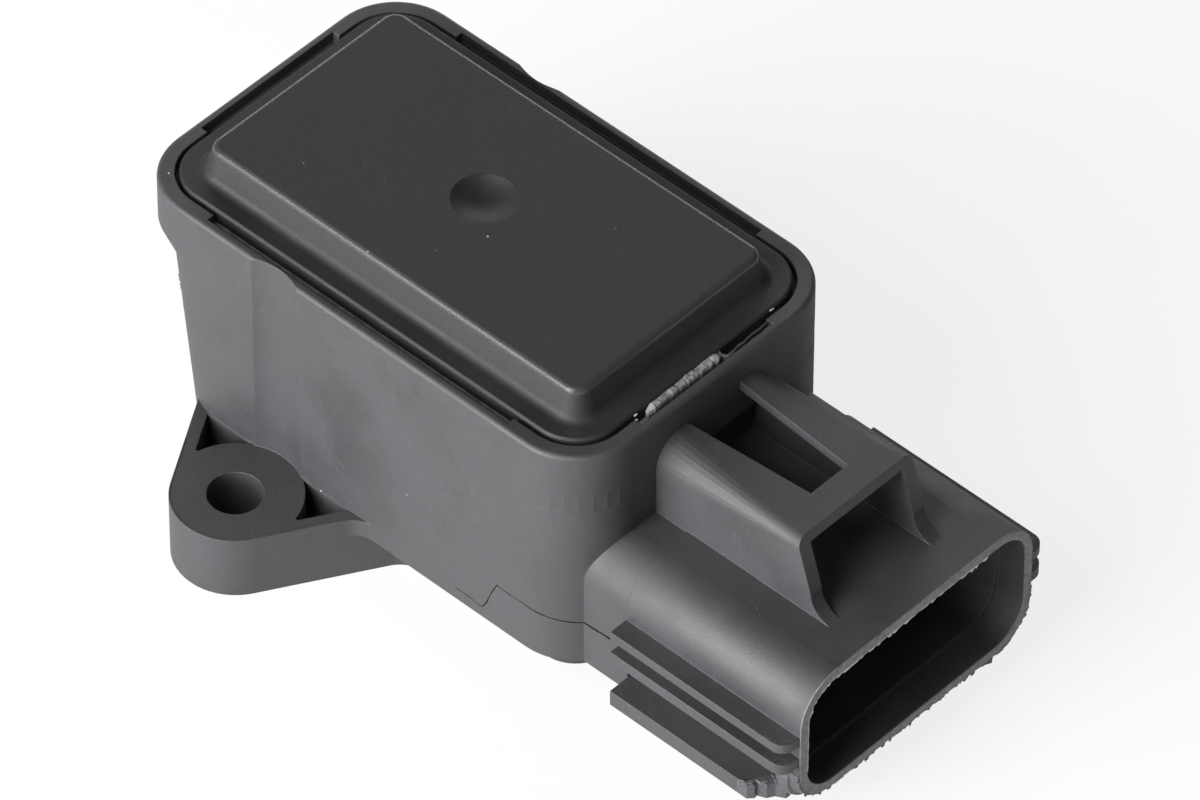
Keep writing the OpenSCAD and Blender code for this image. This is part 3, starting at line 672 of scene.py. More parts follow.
@dataclass(frozen=True)
class MetalFinish(Finish):
    """Sheet, wire or turned metal with rolling lines and dull patches.

    Attributes:
        colour: The clean metal's colour.
        dull: Its colour where it has dulled.
        rough: Roughness of the cleanest and the dullest places.
        line_pitch: Lines in a millimetre.
        line_depth: Depth of the lines, in millimetres.
        patch_pitch: Dull patches in a millimetre.
        rounding: Rounding of the edges, in millimetres.
        edge_highlight: How much brighter than the clean metal the painted highlight along the edges is.
    """

    colour: Colour
    dull: Colour
    rough: Pair = (0.22, 0.42)
    line_pitch: float = 9.0
    line_depth: float = 0.004
    patch_pitch: float = 0.5
    rounding: float = 0.06
    edge_highlight: float = 1.25

    def wire(self, web: Wiring, shader: Node) -> None:
        """Adds the lines, the dull patches and the painted highlight along the edges.

        Args:
            web: The material's tree.
            shader: Its main shader.
        """
        worked = WorkedMetal().place(web, Line_Pitch=self.line_pitch, Patch_Pitch=self.patch_pitch)
        edges = LitEdges().place(web, Rounding=self.rounding, Gain=2.0)
        # A paler colour on the edges: a painted highlight.
        highlight_colour = tuple(min(1.0, c * self.edge_highlight) for c in self.colour)
        base = web.tint(edges["Edge"], web.tint(worked["Dull"], self.colour, self.dull), highlight_colour)
        rough = web.spread(worked["Dull"], 0.0, 1.0, *self.rough)
        web.dress(shader, base, rough, web.bump(worked["Height"], self.line_depth, edges["Normal"]))
        shader.inputs["Metallic"].default_value = 1.0


@dataclass(frozen=True)
class RubberFinish(Finish):
    """Black seal rubber with a faint grey bloom.

    Attributes:
        colour: The rubber's own colour.
        bloom: The colour of the bloom.
        rough: Roughness of the cleanest and the dustiest places.
        grain_pitch: Grains in a millimetre.
        grain_depth: Depth of the grain, in millimetres.
    """

    colour: Colour = (0.016, 0.016, 0.017)
    bloom: Colour = (0.05, 0.05, 0.052)
    rough: Pair = (0.42, 0.66)
    grain_pitch: float = 9.0
    grain_depth: float = 0.01

    def wire(self, web: Wiring, shader: Node) -> None:
        """Adds the grain and the bloom.

        Args:
            web: The material's tree.
            shader: Its main shader.
        """
        skin = MouldedSkin().place(web, Grain_Pitch=self.grain_pitch, Flow_Pitch=0.5, Fleck_Share=0.0)
        base = web.tint(skin["Flow"], self.colour, self.bloom)
        rough = web.spread(skin["Flow"], 0.0, 1.0, *self.rough)
        web.dress(shader, base, rough, web.bump(skin["Height"], self.grain_depth))


@dataclass(frozen=True)
class LaminateFinish(Finish):
    """Circuit board: solder mask over glass cloth and buried copper.

    Attributes:
        mask: The solder mask's colour.
        over_copper: Its colour where copper lies under it.
        rough: Roughness on and between the threads.
        copper_pitch: Copper fields in a millimetre.
        cloth_pitch: Threads of the glass cloth in a millimetre.
        relief: Depth of the copper and the threads, in millimetres.
    """

    mask: Colour = (0.016, 0.075, 0.032)
    over_copper: Colour = (0.035, 0.14, 0.055)
    rough: Pair = (0.26, 0.4)
    copper_pitch: float = 0.28
    cloth_pitch: float = 2.4
    relief: float = 0.03

    def wire(self, web: Wiring, shader: Node) -> None:
        """Adds the copper runs and the cloth's weave.

        Args:
            web: The material's tree.
            shader: Its main shader.
        """
        at = web.place_mm()
        cells = web.node("ShaderNodeTexVoronoi", {"Vector": at, "Scale": self.copper_pitch},
                         distance="MANHATTAN")
        copper = web.spread(web.maths("PINGPONG", cells.outputs["Distance"], 0.2), 0.06, 0.08)
        across, along = (web.node("ShaderNodeTexWave", {"Vector": at, "Scale": self.cloth_pitch},
                                  bands_direction=way).outputs["Fac"] for way in "XY")
        weave = web.maths("MULTIPLY_ADD", across, 0.5, web.product(along, 0.5))
        base = web.tint(copper, self.mask, self.over_copper)
        rough = web.spread(weave, 0.0, 1.0, *self.rough)
        web.dress(shader, base, rough, web.bump(web.maths("MULTIPLY_ADD", weave, 0.3, copper), self.relief))


class Finishes:
    """All finishes of the part, by the record's slot, each made once."""

    plans: Tuple[Finish, ...] = (
        # The housing's black is paler than the cover's: the paler housing paints light onto its side walls,
        # and the darker cover paints shade onto its top face.
        MouldedFinish("housing_plastic", (0.035, 0.0365, 0.0395), (0.1, 0.103, 0.109), rough=(0.53, 0.66),
                      rounding=0.14, sheen=0.7, scuffed_highlight=(0.16, 0.163, 0.168)),
        MouldedFinish("cover_plastic", (0.0185, 0.0192, 0.019), (0.06, 0.062, 0.063), rough=(0.5, 0.62),
                      sheen=0.4, grain_pitch=7.0, fleck=0.18, dust=0.05, scratch=0.35, rounding=0.16,
                      rubbed=0.26),
        MouldedFinish("torn_plastic", (0.06, 0.062, 0.066), (0.16, 0.163, 0.17), rough=(0.5, 0.66),
                      grain_pitch=2.6, grain_depth=0.09, flow_pitch=0.9, rounding=0.1, fleck=0.8, dust=0.0),
        # Pale finish of the mouth's inner fin: stress-whitened plastic and a painted highlight.
        MouldedFinish("whitened_burr_highlight", (0.46, 0.463, 0.468), (0.68, 0.684, 0.69), rough=(0.42, 0.55),
                      sheen=0.9, grain_pitch=2.6, grain_depth=0.05, flow_pitch=0.9, rounding=0.05,
                      fleck=0.9, dust=0.0),
        # Near-black finish of the parting line: painted shade of its groove.
        MouldedFinish("parting_line_shade", (0.004, 0.004, 0.0042), (0.012, 0.012, 0.0125), rough=(0.8, 0.95),
                      sheen=0.1, rounding=0.03, fleck=0.1, dust=0.0, scratch=0.0),
        MouldedFinish("carrier_plastic", (0.03, 0.03, 0.031), (0.07, 0.07, 0.07), dust=0.0),
        MouldedFinish("rotor_plastic", (0.66, 0.6, 0.45), (0.78, 0.74, 0.62), rough=(0.34, 0.48),
                      fleck=0.5, dust=0.02, scratch=0.15, edge_gain=0.8),
        MouldedFinish("track_ink", (0.012, 0.012, 0.014), (0.05, 0.05, 0.055), rough=(0.3, 0.42),
                      grain_pitch=14.0, dust=0.0, scratch=0.6, rounding=0.03),
        MouldedFinish("capacitor_ceramic", (0.36, 0.24, 0.12), (0.45, 0.34, 0.2), rough=(0.45, 0.6),
                      grain_pitch=12.0, dust=0.0, scratch=0.0, rounding=0.08),
        MouldedFinish("resistor_body", (0.018, 0.018, 0.022), (0.3, 0.3, 0.29), rough=(0.3, 0.45),
                      grain_pitch=12.0, dust=0.0, scratch=0.0, rounding=0.08, edge_gain=4.0),
        SealantFinish("sealant", (0.15, 0.155, 0.154), (0.27, 0.276, 0.273)),
        SealantFinish("sealant_crumb", (0.34, 0.34, 0.33), (0.5, 0.5, 0.49)),
        LaminateFinish("board_laminate"),
        MetalFinish("terminal_metal", (0.72, 0.69, 0.6), (0.55, 0.52, 0.44)),
        MetalFinish("contact_metal", (0.82, 0.52, 0.34), (0.6, 0.36, 0.22)),
        MetalFinish("spring_steel", (0.6, 0.6, 0.61), (0.42, 0.42, 0.43), rough=(0.25, 0.4)),
        MetalFinish("bush_metal", (0.62, 0.47, 0.26), (0.4, 0.3, 0.17), rough=(0.38, 0.55), line_depth=0.008),
        MetalFinish("washer_steel", (0.62, 0.63, 0.65), (0.44, 0.45, 0.47), rough=(0.3, 0.5)),
        MetalFinish("ring_steel", (0.3, 0.3, 0.32), (0.16, 0.16, 0.17), rough=(0.35, 0.5)),
        RubberFinish("seal_rubber"),
        RubberFinish("o_ring_rubber", (0.014, 0.014, 0.015), (0.035, 0.035, 0.037)),
    )

    def __init__(self) -> None:
        """Makes every finish."""
        self.made: Dict[str, bpy.types.Material] = {plan.name: plan.make() for plan in self.plans}

    def dress(self, obj: bpy.types.Object, slot: str) -> None:
        """Gives an object one finish in place of what it has.

        Args:
            obj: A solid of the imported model, or a new piece.
            slot: The name of the finish.
        """
        obj.data.materials.clear()
        obj.data.materials.append(self.made[slot])


class Draft:
    """Collects points and faces in millimetres and turns them into one piece."""

    def __init__(self) -> None:
        """Starts with nothing."""
        self.mesh = bmesh.new()

    def loft(self, rings: Sequence[Sequence[Vector]]) -> None:
        """Joins rings of points one after another and caps the ends.

        Args:
            rings: Rings of the same number of points, in order.
        """
        rows = [[self.mesh.verts.new(p * MM) for p in ring] for ring in rings]
        count = len(rows[0])
        for low, high in zip(rows, rows[1:]):
            for i in range(count):
                j = (i + 1) % count
                self.mesh.faces.new((low[i], low[j], high[j], high[i]))
        self.mesh.faces.new(list(reversed(rows[0])))
        self.mesh.faces.new(rows[-1])

    def piece(self, name: str, smooth: bool = False) -> bpy.types.Object:
        """Turns the draft into an object.

        Args:
            name: The piece's name.
            smooth: Whether its faces are shaded smooth.

        Returns:
            The object, at the origin.
        """
        bmesh.ops.recalc_face_normals(self.mesh, faces=self.mesh.faces)
        data = bpy.data.meshes.new(name)
        self.mesh.to_mesh(data)
        self.mesh.free()
        for face in data.polygons:
            face.use_smooth = smooth
        made = bpy.data.objects.new(name, data)
        bpy.context.scene.collection.objects.link(made)
        return made


@dataclass
class Assembly:
    """What every sub-assembly shares.

    Attributes:
        nodes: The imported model's objects, by name.
        finishes: The part's finishes.
        body: The body that its new pieces ride on.
        slots: The record's slot of each of its solids, by the solid's name.
    """

    nodes: Dict[str, bpy.types.Object]
    finishes: Finishes
    body: Body = Body.HOUSING
    slots: Mapping[str, str] = field(default_factory=dict)

    def build(self) -> None:
        """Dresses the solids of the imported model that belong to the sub-assembly."""
        for name, slot in self.slots.items():
            self.finishes.dress(self.nodes[name], slot)
            LOG.info("%s: solid kept, dressed as %s", name, slot)

    def add(self, piece: bpy.types.Object, slot: str, finish: Optional[str] = None) -> None:
        """Dresses a new piece and lets it ride on its body.

        Args:
            piece: The new piece.
            slot: The record's slot, whose finish it gets where no other is given.
            finish: Its finish, where it isn't the slot's own.
        """
        self.finishes.dress(piece, finish or slot)
        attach(piece, self.body.value)
        LOG.info("%s: added, %d faces, rides on %s", piece.name, len(piece.data.polygons), self.body.value)


def wobble(x: float, y: float = 0.0, z: float = 0.0) -> float:
    """Returns smooth noise at a place, from about -1 to 1."""
    return noise.noise(Vector((x, y, z)))


def round_way(turn: float) -> Vector:
    """Returns the level direction at an angle from +X, in radians."""
    return Vector((math.cos(turn), math.sin(turn), 0.0))


def walk(points: Sequence[Vector], step: float) -> List[Vector]:
    """Finds points about a step apart along a line of straight stretches.

    Args:
        points: The ends of the stretches, in order.
        step: The step.

    Returns:
        The points, with both ends of the line.
    """
    found: List[Vector] = []
    for start, end in zip(points, points[1:]):
        count = max(1, round((end - start).length / step))
        found.extend(start.lerp(end, i / count) for i in range(count))
    found.append(points[-1])
    return found


def ridge_rings(path: Edge, width: float, height: Callable[[float], float],
                uneven: float = 0.45, sink: float = 0.04) -> List[Ring]:
    """Makes the rings of a thin ridge that lies on a surface.

    Args:
        path: Points on the surface, each with the way that the surface faces.
        width: Width of its foot.
        height: How proud it stands, by the distance along it.
        uneven: How much its width changes along it.
        sink: How deep its foot goes into the surface.

    Returns:
        The rings.
    """
    rings: List[Ring] = []
    walked = 0.0
    for i, (spot, out) in enumerate(path):
        before = path[max(i - 1, 0)][0]
        after = path[min(i + 1, len(path) - 1)][0]
        walked += (spot - before).length
        wide = width * (1.0 + uneven * wobble(spot.x * 1.9, spot.z * 1.9, 4.0))
        side = (after - before).cross(out).normalized() * wide / 2
        rise = out * height(walked)
        rings.append([spot - side - out * sink, spot + side - out * sink,
                      spot + side * 0.35 + rise, spot - side * 0.35 + rise])
    return rings


def ragged_fin(root: Edge, across: Vector, thick: float, reach: Callable[[int, float], float]) -> Draft:
    """Makes a thin torn fin of flash along an edge.

    Args:
        root: Points along the edge, each with the way that the fin sticks out.
        across: The way that the fin is thick.
        thick: Its thickness.
        reach: How far it sticks out, by the point's number and its place from 0 to 1.

    Returns:
        The draft.
    """
    draft = Draft()
    rings: List[Ring] = []
    half = across * thick / 2
    last = len(root) - 1
    for i, (spot, out) in enumerate(root):
        foot, tip = spot - out * 0.25, spot + out * reach(i, i / last)
        rings.append([foot - half, foot + half, tip + half * 0.3, tip - half * 0.3])
    draft.loft(rings)
    return draft


def torn_edge(pick: random.Random, count: int, low: float, spread: float) -> List[float]:
    """Draws the heights of an edge that tore off in short uneven steps.

    Args:
        pick: The random draws.
        count: How many heights to give.
        low: The least height.
        spread: How much taller the tallest steps are.

    Returns:
        The heights, in millimetres.
    """
    heights: List[float] = []
    while len(heights) < count:
        tall = low + spread * pick.random() ** 2
        heights += [tall * (0.75 + 0.25 * pick.random()) for _ in range(pick.randint(1, 5))]
    return heights[:count]


@dataclass
class MouldedHousing(Assembly):
    """The housing with its parting line, its flash, its burrs and its torn rib.

    Attributes:
        wall_y: Half of the body's width.
        corner_r: Radius of the body's upright corners.
        front_x: Where the body ends towards the plug.
        neck_y: Half of the neck's width.
        mouth_x: Where the shroud ends.
        shroud_y: Half of the shroud's width.
        shroud_low: Height of the shroud's underside.
        shroud_high: Height of its top.
        shroud_r: Radius of its corners.
        shroud_wall: Thickness of its wall at the mouth.
        line_points: The parting line on the side wall, as X and Z.
        line_widths: Each stretch of that line: its first point, the one after its last, its width.
        line_step: Length of the line's short pieces.
        corner_z: Height of the line where it starts round the corner.
        corner_drop: How far it falls in each of the corner's steps.
        corner_width: Its width round the corner.
        neck_z: Height at which it comes to the neck.
        neck_line: Its other points on the neck, as X and Z.
        neck_width: Its width there.
        flash_thick: Thickness of the flash at the mouth.
        flash_run: Where the underside's flash starts along the mouth's outline, and where it ends.
        flash_count: How many short pieces it has.
        low_from: Distance along the outline from which that flash is lower.
        teeth: Its larger teeth: where each starts and ends, and its length.
        lip_run: Where the inner edge's flash starts along the outline, and where it ends.
        lip_count: How many short pieces it has.
        lip_rough: Share of its run after which it gets rough.
        tear_top: Height of the lowest rib's top.
        tear_deep: How far below its top the tear reaches.
        tear_back: Where the lowest rib starts to be torn, as X and Y.
        tear_front: Where its solid ends, as X and Y.
        tear_step: Length of the tear's short pieces.
        web: How proud the web towards the mouth stands from the shroud's corner, by its X.
        web_sink: How deep its foot goes into the corner.
        rib_tops: Heights of the upper ribs' tops, and how many worn grains each has.
        rib_middle: Middle of the ribs' rounded front corners, as X and Y.
        rib_r: Radius of those corners.
        ear_middle: Y of the near bolt hole.
        ear_r: Radius of the ear's round end.
        ear_flare: Flare of the ear's flanks, in degrees.
        ear_top: Height of the ear's top.
        ear_flanks: Length of the flash on each flank of the ear, by its side.
        ear_coarse: Distance along the ear's flash from which it is coarse.
        end_x: Where the end wall stands, at the height of the shroud's underside.
        end_lean: How far it leans out, in degrees.
        end_turn: The way that its corner's flash sticks out, in degrees from -X towards -Y.
        end_run: Where that flash starts, and how far up it runs.
    """

    slots: Mapping[str, str] = field(default_factory=lambda: {"housing": "housing_plastic"})
    wall_y: float = 17.8
    corner_r: float = 6.8
    front_x: float = 38.4
    neck_y: float = 15.45
    mouth_x: float = 63.7
    shroud_y: float = 15.65
    shroud_low: float = 5.2
    shroud_high: float = 20.45
    shroud_r: float = 4.7
    shroud_wall: float = 0.95
    line_points: Spots = (
        (22.7, 6.65), (24.6, 6.65), (25.7, 6.4), (26.1, 6.5), (26.6, 7.3), (27.3, 9.2), (28.0, 10.75),
        (30.0, 10.65), (31.6, 10.8),
    )
    line_widths: Tuple[Tuple[int, int, float], ...] = ((0, 4, 0.07), (3, 7, 0.17), (6, 9, 0.11))
    line_step: float = 0.25
    corner_z: float = 10.7
    corner_drop: float = 0.035
    corner_width: float = 0.19
    neck_z: float = 10.3
    neck_line: Spots = ((39.0, 10.45), (42.2, 10.6))
    neck_width: float = 0.4
    flash_thick: float = 0.12
    flash_run: Pair = (-19.5, 26.5)
    flash_count: int = 420
    low_from: float = 18.0
    teeth: Tuple[Point, ...] = (
        (-18.8, -17.6, 0.35), (-16.9, -16.1, 0.3), (-13.9, -12.6, 0.45), (-10.2, -9.7, 0.3),
        (-6.0, -5.4, 0.28), (-2.2, -1.2, 0.4), (1.2, 2.1, 0.5), (3.1, 3.7, 0.6), (4.3, 4.7, 0.45),
        (7.9, 8.2, 0.5), (8.5, 10.7, 0.95), (12.6, 12.9, 0.45), (14.1, 14.4, 0.4), (15.1, 15.6, 0.45),
        (16.3, 16.6, 0.35), (17.6, 17.9, 0.35), (20.1, 20.3, 0.25), (21.2, 21.5, 0.2),
    )
    lip_run: Pair = (-18.0, -52.0)
    lip_count: int = 330
    lip_rough: float = 0.22
    tear_top: float = 7.0
    tear_deep: float = 1.78
    tear_back: Spots = (
        (58.0, -17.82), (58.8, -17.45), (58.95, -16.85), (59.2, -16.0), (59.5, -15.3), (60.1, -14.8),
        (61.2, -14.7),
    )
    tear_front: Spots = (
        (59.1, -17.8), (59.6, -17.3), (59.55, -16.92), (60.4, -16.5), (60.8, -15.8), (61.7, -15.3),
        (61.72, -14.8),
    )
    tear_step: float = 0.16
    web: Spots = (
        (60.6, 0.5), (61.2, 1.05), (61.7, 1.2), (62.1, 1.1), (62.45, 0.95), (62.6, 0.6), (63.1, 0.4),
        (63.55, 0.3),
    )
    web_sink: float = 0.35
    rib_tops: Tuple[Tuple[float, int], ...] = ((14.85, 120), (12.2, 110))
    rib_middle: Pair = (62.1, -16.4)
    rib_r: float = 1.4
    ear_middle: float = -23.5
    ear_r: float = 6.2
    ear_flare: float = 31.0
    ear_top: float = 7.2
    ear_flanks: Spots = ((-1.0, 6.0), (1.0, 8.3))
    ear_coarse: float = 24.0
    end_x: float = -14.7
    end_lean: float = 6.5
    end_turn: float = 43.0
    end_run: Pair = (16.2, 6.4)

    def outline(self, spot: float, inset: float = 0.0) -> Tuple[Vector, Vector]:
        """Finds a place on the shroud's outline at the mouth.

        Args:
            spot: The distance along the outline from the middle of the underside, towards +Y.
            inset: How far inside the outline the place is.

        Returns:
            The place, and the way that the outline faces there.
        """
        flat_y = self.shroud_y - self.shroud_r
        flat_z = (self.shroud_high - self.shroud_low) / 2 - self.shroud_r
        middle = (self.shroud_high + self.shroud_low) / 2
        arc = self.shroud_r * math.pi / 2
        left = abs(spot)
        stretches = (flat_y, arc, 2 * flat_z, arc, flat_y)
        part = 0
        while part < 4 and left > stretches[part]:
            left -= stretches[part]
            part += 1
        turn = left / self.shroud_r
        centre, facing = (
            ((left, -flat_z), (0.0, -1.0)),
            ((flat_y, -flat_z), (math.sin(turn), -math.cos(turn))),
            ((flat_y, left - flat_z), (1.0, 0.0)),
            ((flat_y, flat_z), (math.cos(turn), math.sin(turn))),
            ((flat_y - left, flat_z), (0.0, 1.0)),
        )[part]
        side = math.copysign(1.0, spot)
        out = Vector((0.0, side * facing[0], facing[1]))
        centre_at = Vector((0.0, side * centre[0], middle + centre[1]))
        return centre_at + out * (self.shroud_r - inset), out

    def flat_line(self, points: Spots, half: float) -> Edge:
        """Takes a stretch of the parting line to a flat wall on the near side.

        Args:
            points: The stretch, as X and Z.
            half: How far the wall is from the middle.

        Returns:
            Points on the wall, each with the way that the wall faces.
        """
        face = Vector((0.0, -1.0, 0.0))
        return [(p, face) for p in walk([Vector((x, -half, z)) for x, z in points], self.line_step)]

    def parting_line(self) -> None:
        """Lays the parting line along the side wall, round the corner and over the neck, as a low ridge whose
        near-black finish paints the shade of its groove.
        """
        centre = Vector((self.front_x - self.corner_r, self.corner_r - self.wall_y, self.corner_z))
        meets = math.asin((self.corner_r - self.wall_y + self.neck_y) / self.corner_r)
        steps = 12
        corner = [(Vector((centre.x, -self.wall_y, centre.z)), Vector((0.0, -1.0, 0.0)))]
        for i in range(1, steps + 1):
            out = round_way(-math.pi / 2 + (math.pi / 2 - abs(meets)) * i / steps)
            corner.append((centre + out * self.corner_r - UP * (self.corner_drop * i), out))
        neck = ((corner[-1][0].x + 0.05, self.neck_z), *self.neck_line)
        stretches = [(self.flat_line(self.line_points[first:last], self.wall_y), width)
                     for first, last, width in self.line_widths]
        stretches += [(corner, self.corner_width), (self.flat_line(neck, self.neck_y), self.neck_width)]
        draft = Draft()
        for path, width in stretches:
            draft.loft(ridge_rings(path, width, self.line_rise))
        self.add(draft.piece("parting_line", smooth=True), "housing_plastic", "parting_line_shade")

    @staticmethod
    def line_rise(along: float) -> float:
        """Returns how proud the parting line stands at a distance along it."""
        return 0.028 + 0.03 * wobble(along, 2.0)

    def fringe(self, name: str, finish: str, spots: Sequence[float], inset: float, back: float,
               reach: Callable[[int, float], float]) -> None:
        """Leaves a torn fin along the mouth's outer or inner edge.

        Args:
            name: The piece's name.
            finish: Its finish.
            spots: Distances along the mouth's outline.
            inset: How far inside the outline it stands. One that stands inside points inwards.
            back: How far behind the mouth's end its middle lies.
            reach: How far it sticks out, by the point's number and its place from 0 to 1.
        """
        root = []
        for spot in spots:
            at, out = self.outline(spot, inset)
            root.append((at + TO_PLUG * (self.mouth_x - back), -out if inset else out))
        fin = ragged_fin(root, TO_PLUG, self.flash_thick, reach)
        self.add(fin.piece(name), "housing_plastic", finish)

    def mouth_flash(self) -> None:
        """Tears a thin fin round the underside and the far side of the mouth."""
        pick = random.Random(7)
        start, end = self.flash_run
        spots = [start + (end - start) * i / self.flash_count for i in range(self.flash_count + 1)]
        edge = torn_edge(pick, len(spots), low=0.1, spread=0.5)

        def reach(i: int, place: float) -> float:
            """Draws a torn length: a low ragged edge with the larger teeth on it.

            Args:
                i: The point's number.
                place: Its place along the fin, which isn't used.

            Returns:
                The length.
            """
            long = max(0.04, edge[i] + 0.2 * wobble(i * 0.05, 9.0))
            if spots[i] > self.low_from:
                long *= 0.6
            for low, high, tall in self.teeth:
                if low <= spots[i] <= high:
                    share = (spots[i] - low) / (high - low)
                    long = max(long, tall * (0.15 + 0.85 * share ** 1.6) + 0.06 * pick.random())
            return long

        self.fringe("mouth_flash", "torn_plastic", spots, inset=0.0, back=0.1, reach=reach)

    def mouth_lip_flash(self) -> None:
        """Leaves a finer fin on the inner edge of the mouth's near side and top, whose pale colour is
        stress-whitening and a painted highlight.
        """
        start, end = self.lip_run
        spots = [start + (end - start) * i / self.lip_count for i in range(self.lip_count + 1)]
        edge = torn_edge(random.Random(11), len(spots), low=0.0, spread=0.3)

        def reach(i: int, place: float) -> float:
            """Finds a length: a low lip at the side, which gets rough along the top.

            Args:
                i: The point's number.
                place: Its place along the fin.

            Returns:
                The length.
            """
            rough = 1.0 if place > self.lip_rough else 0.2
            return 0.2 + rough * max(-0.06, edge[i] + 0.2 * wobble(i * 0.06, 3.0))

        self.fringe("mouth_lip_flash", "whitened_burr_highlight", spots, self.shroud_wall - 0.05, back=0.07, reach=reach)

    def torn_front(self) -> List[Ring]:
        """Roughens the lowest rib's torn front.

        Returns:
            The rings of its surface, from its outer end towards the shroud.
        """
        back, front = (walk([Vector((x, y, self.tear_top)) for x, y in spots], self.tear_step)
                       for spots in (self.tear_back, self.tear_front))
        rings: List[Ring] = []
        for i, spot in enumerate(back):
            at = front[round(i / (len(back) - 1) * (len(front) - 1))]
            out = (at - spot).normalized() * 0.07
            bump = [0.12 * wobble(i * 0.5, 4.0 * k) for k in range(5)]
            rises = ((0.0, 0.0), (0.35, 0.12 + bump[0]), (0.75, 0.08 + bump[1]))
            ring = [spot.lerp(at, share) + UP * rise for share, rise in rises]
            ring += [at + out * (1.0 + 3.0 * abs(bump[k])) - UP * low
                     for k, low in ((2, 0.12), (3, 0.7), (4, 1.3))]
            ring += [at + out - UP * self.tear_deep, spot - UP * self.tear_deep]
            rings.append(ring)
        return rings

    def torn_web(self) -> List[Ring]:
        """Makes the web that the rib left on the shroud's corner, towards the mouth.

        Returns:
            Its rings, in order of X.
        """
        middle_y, middle_z = self.shroud_r - self.shroud_y, self.shroud_low + self.shroud_r
        steps = 10
        turns = [math.pi * (1.02 + 0.46 * k / steps) for k in range(steps + 1)]
        rings: List[Ring] = []
        for x, proud in self.web:
            ring = []
            for k, turn in enumerate(turns):
                swell = proud * math.sin(math.pi * (k + 0.4) / (steps + 0.8)) ** 0.8
                r = self.shroud_r + (swell + 0.08 * wobble(x * 2, k))
                ring.append(Vector((x, middle_y + r * math.cos(turn),
                                    max(self.shroud_low + 0.01, middle_z + r * math.sin(turn)))))
            r = self.shroud_r - self.web_sink
            ring += [Vector((x, middle_y + r * math.cos(turn), middle_z + r * math.sin(turn)))
                     for turn in reversed(turns)]
            rings.append(ring)
        return rings

    def rib_tear(self) -> None:
        """Joins the lowest rib's torn front and the web beyond it in one piece."""
        draft = Draft()
        draft.loft(self.torn_front())
        draft.loft(self.torn_web())
        self.add(draft.piece("rib_tear"), "housing_plastic", "torn_plastic")

    def rib_burrs(self) -> None:
        """Scatters the worn grains on the front corners of the upper ribs."""
        pick = random.Random(19)
        draft = Draft()
        for top, count in self.rib_tops:
            for _ in range(count):
                inset = 0.08 + pick.random() ** 1.8
                along = pick.random() * 3.4 - 1.2
                turn = -math.pi / 2 + max(0.0, min(math.pi / 2, along / self.rib_r))
                reach = self.rib_r - inset
                middle = Vector((self.rib_middle[0] + min(0.0, along) + reach * math.cos(turn),
                                 self.rib_middle[1] + reach * math.sin(turn) + max(0.0, along - 2.2), top))
                r = 0.03 + 0.06 * pick.random() ** 2
                ring = [middle + Vector((r * math.cos(a), r * math.sin(a), -0.02))
                        for a in (0.3, 1.9, 3.4, 5.1)]
                draft.loft([ring, [middle + (p - middle) * 0.5 + UP * (r * 0.5) for p in ring]])
        self.add(draft.piece("rib_burrs"), "housing_plastic", "torn_plastic")

    def ear_flash(self) -> None:
        """Leaves the fine flash that stands along the near ear's top edge."""
        flare = math.radians(self.ear_flare)
        middle = Vector((0.0, self.ear_middle, self.ear_top))
        radius = self.ear_r - 0.09
        flanks = []
        for side, length in self.ear_flanks:
            start = middle + Vector((side * math.cos(flare), -math.sin(flare), 0.0)) * radius
            run = Vector((side * math.sin(flare), math.cos(flare), 0.0))
            flanks.append(walk([start + run * length, start], 0.35))
        turns = [math.pi + flare + (math.pi - 2 * flare) * i / 40 for i in range(1, 40)]
        spots = flanks[0] + [middle + round_way(turn) * radius for turn in turns] + flanks[1][::-1]

        def height(run: float) -> float:
            """Finds a low uneven height, with coarser grains towards the plug.

            Args:
                run: The distance along the flash.

            Returns:
                The height.
            """
            coarse = 0.12 * abs(wobble(run * 3.0, 2.0)) if run > self.ear_coarse else 0.0
            return 0.05 + 0.03 * wobble(run * 0.9, 12.0) + coarse

        draft = Draft()
        draft.loft(ridge_rings([(p, UP) for p in spots], 0.14, height, uneven=0.0))
        self.add(draft.piece("ear_flash"), "housing_plastic")

    def end_flash(self) -> None:
        """Leaves short teeth of flash on the upright corner beside the end wall."""
        pick = random.Random(23)
        out = -round_way(math.radians(self.end_turn))
        lean = math.radians(self.end_lean)
        start, run = self.end_run
        count = 40
        root = []
        for i in range(count):
            z = start + run * i / (count - 1)
            wall = self.end_x - (z - self.shroud_low) * math.tan(lean)
            centre = Vector((wall + self.corner_r / math.cos(lean), self.corner_r - self.wall_y, z))
            root.append((centre + out * (self.corner_r - 0.03), out))
        fin = ragged_fin(root, Vector((out.y, -out.x, 0.0)), 0.1,
                         lambda i, place: 0.04 + 0.16 * pick.random() * (0.4 + 0.6 * (12 < i < 26)))
        self.add(fin.piece("end_flash"), "housing_plastic")

    def build(self) -> None:
        """Dresses the housing and adds its small pieces."""
        super().build()
        self.parting_line()
        self.mouth_flash()
        self.mouth_lip_flash()
        self.rib_tear()
        self.rib_burrs()
        self.ear_flash()
        self.end_flash()


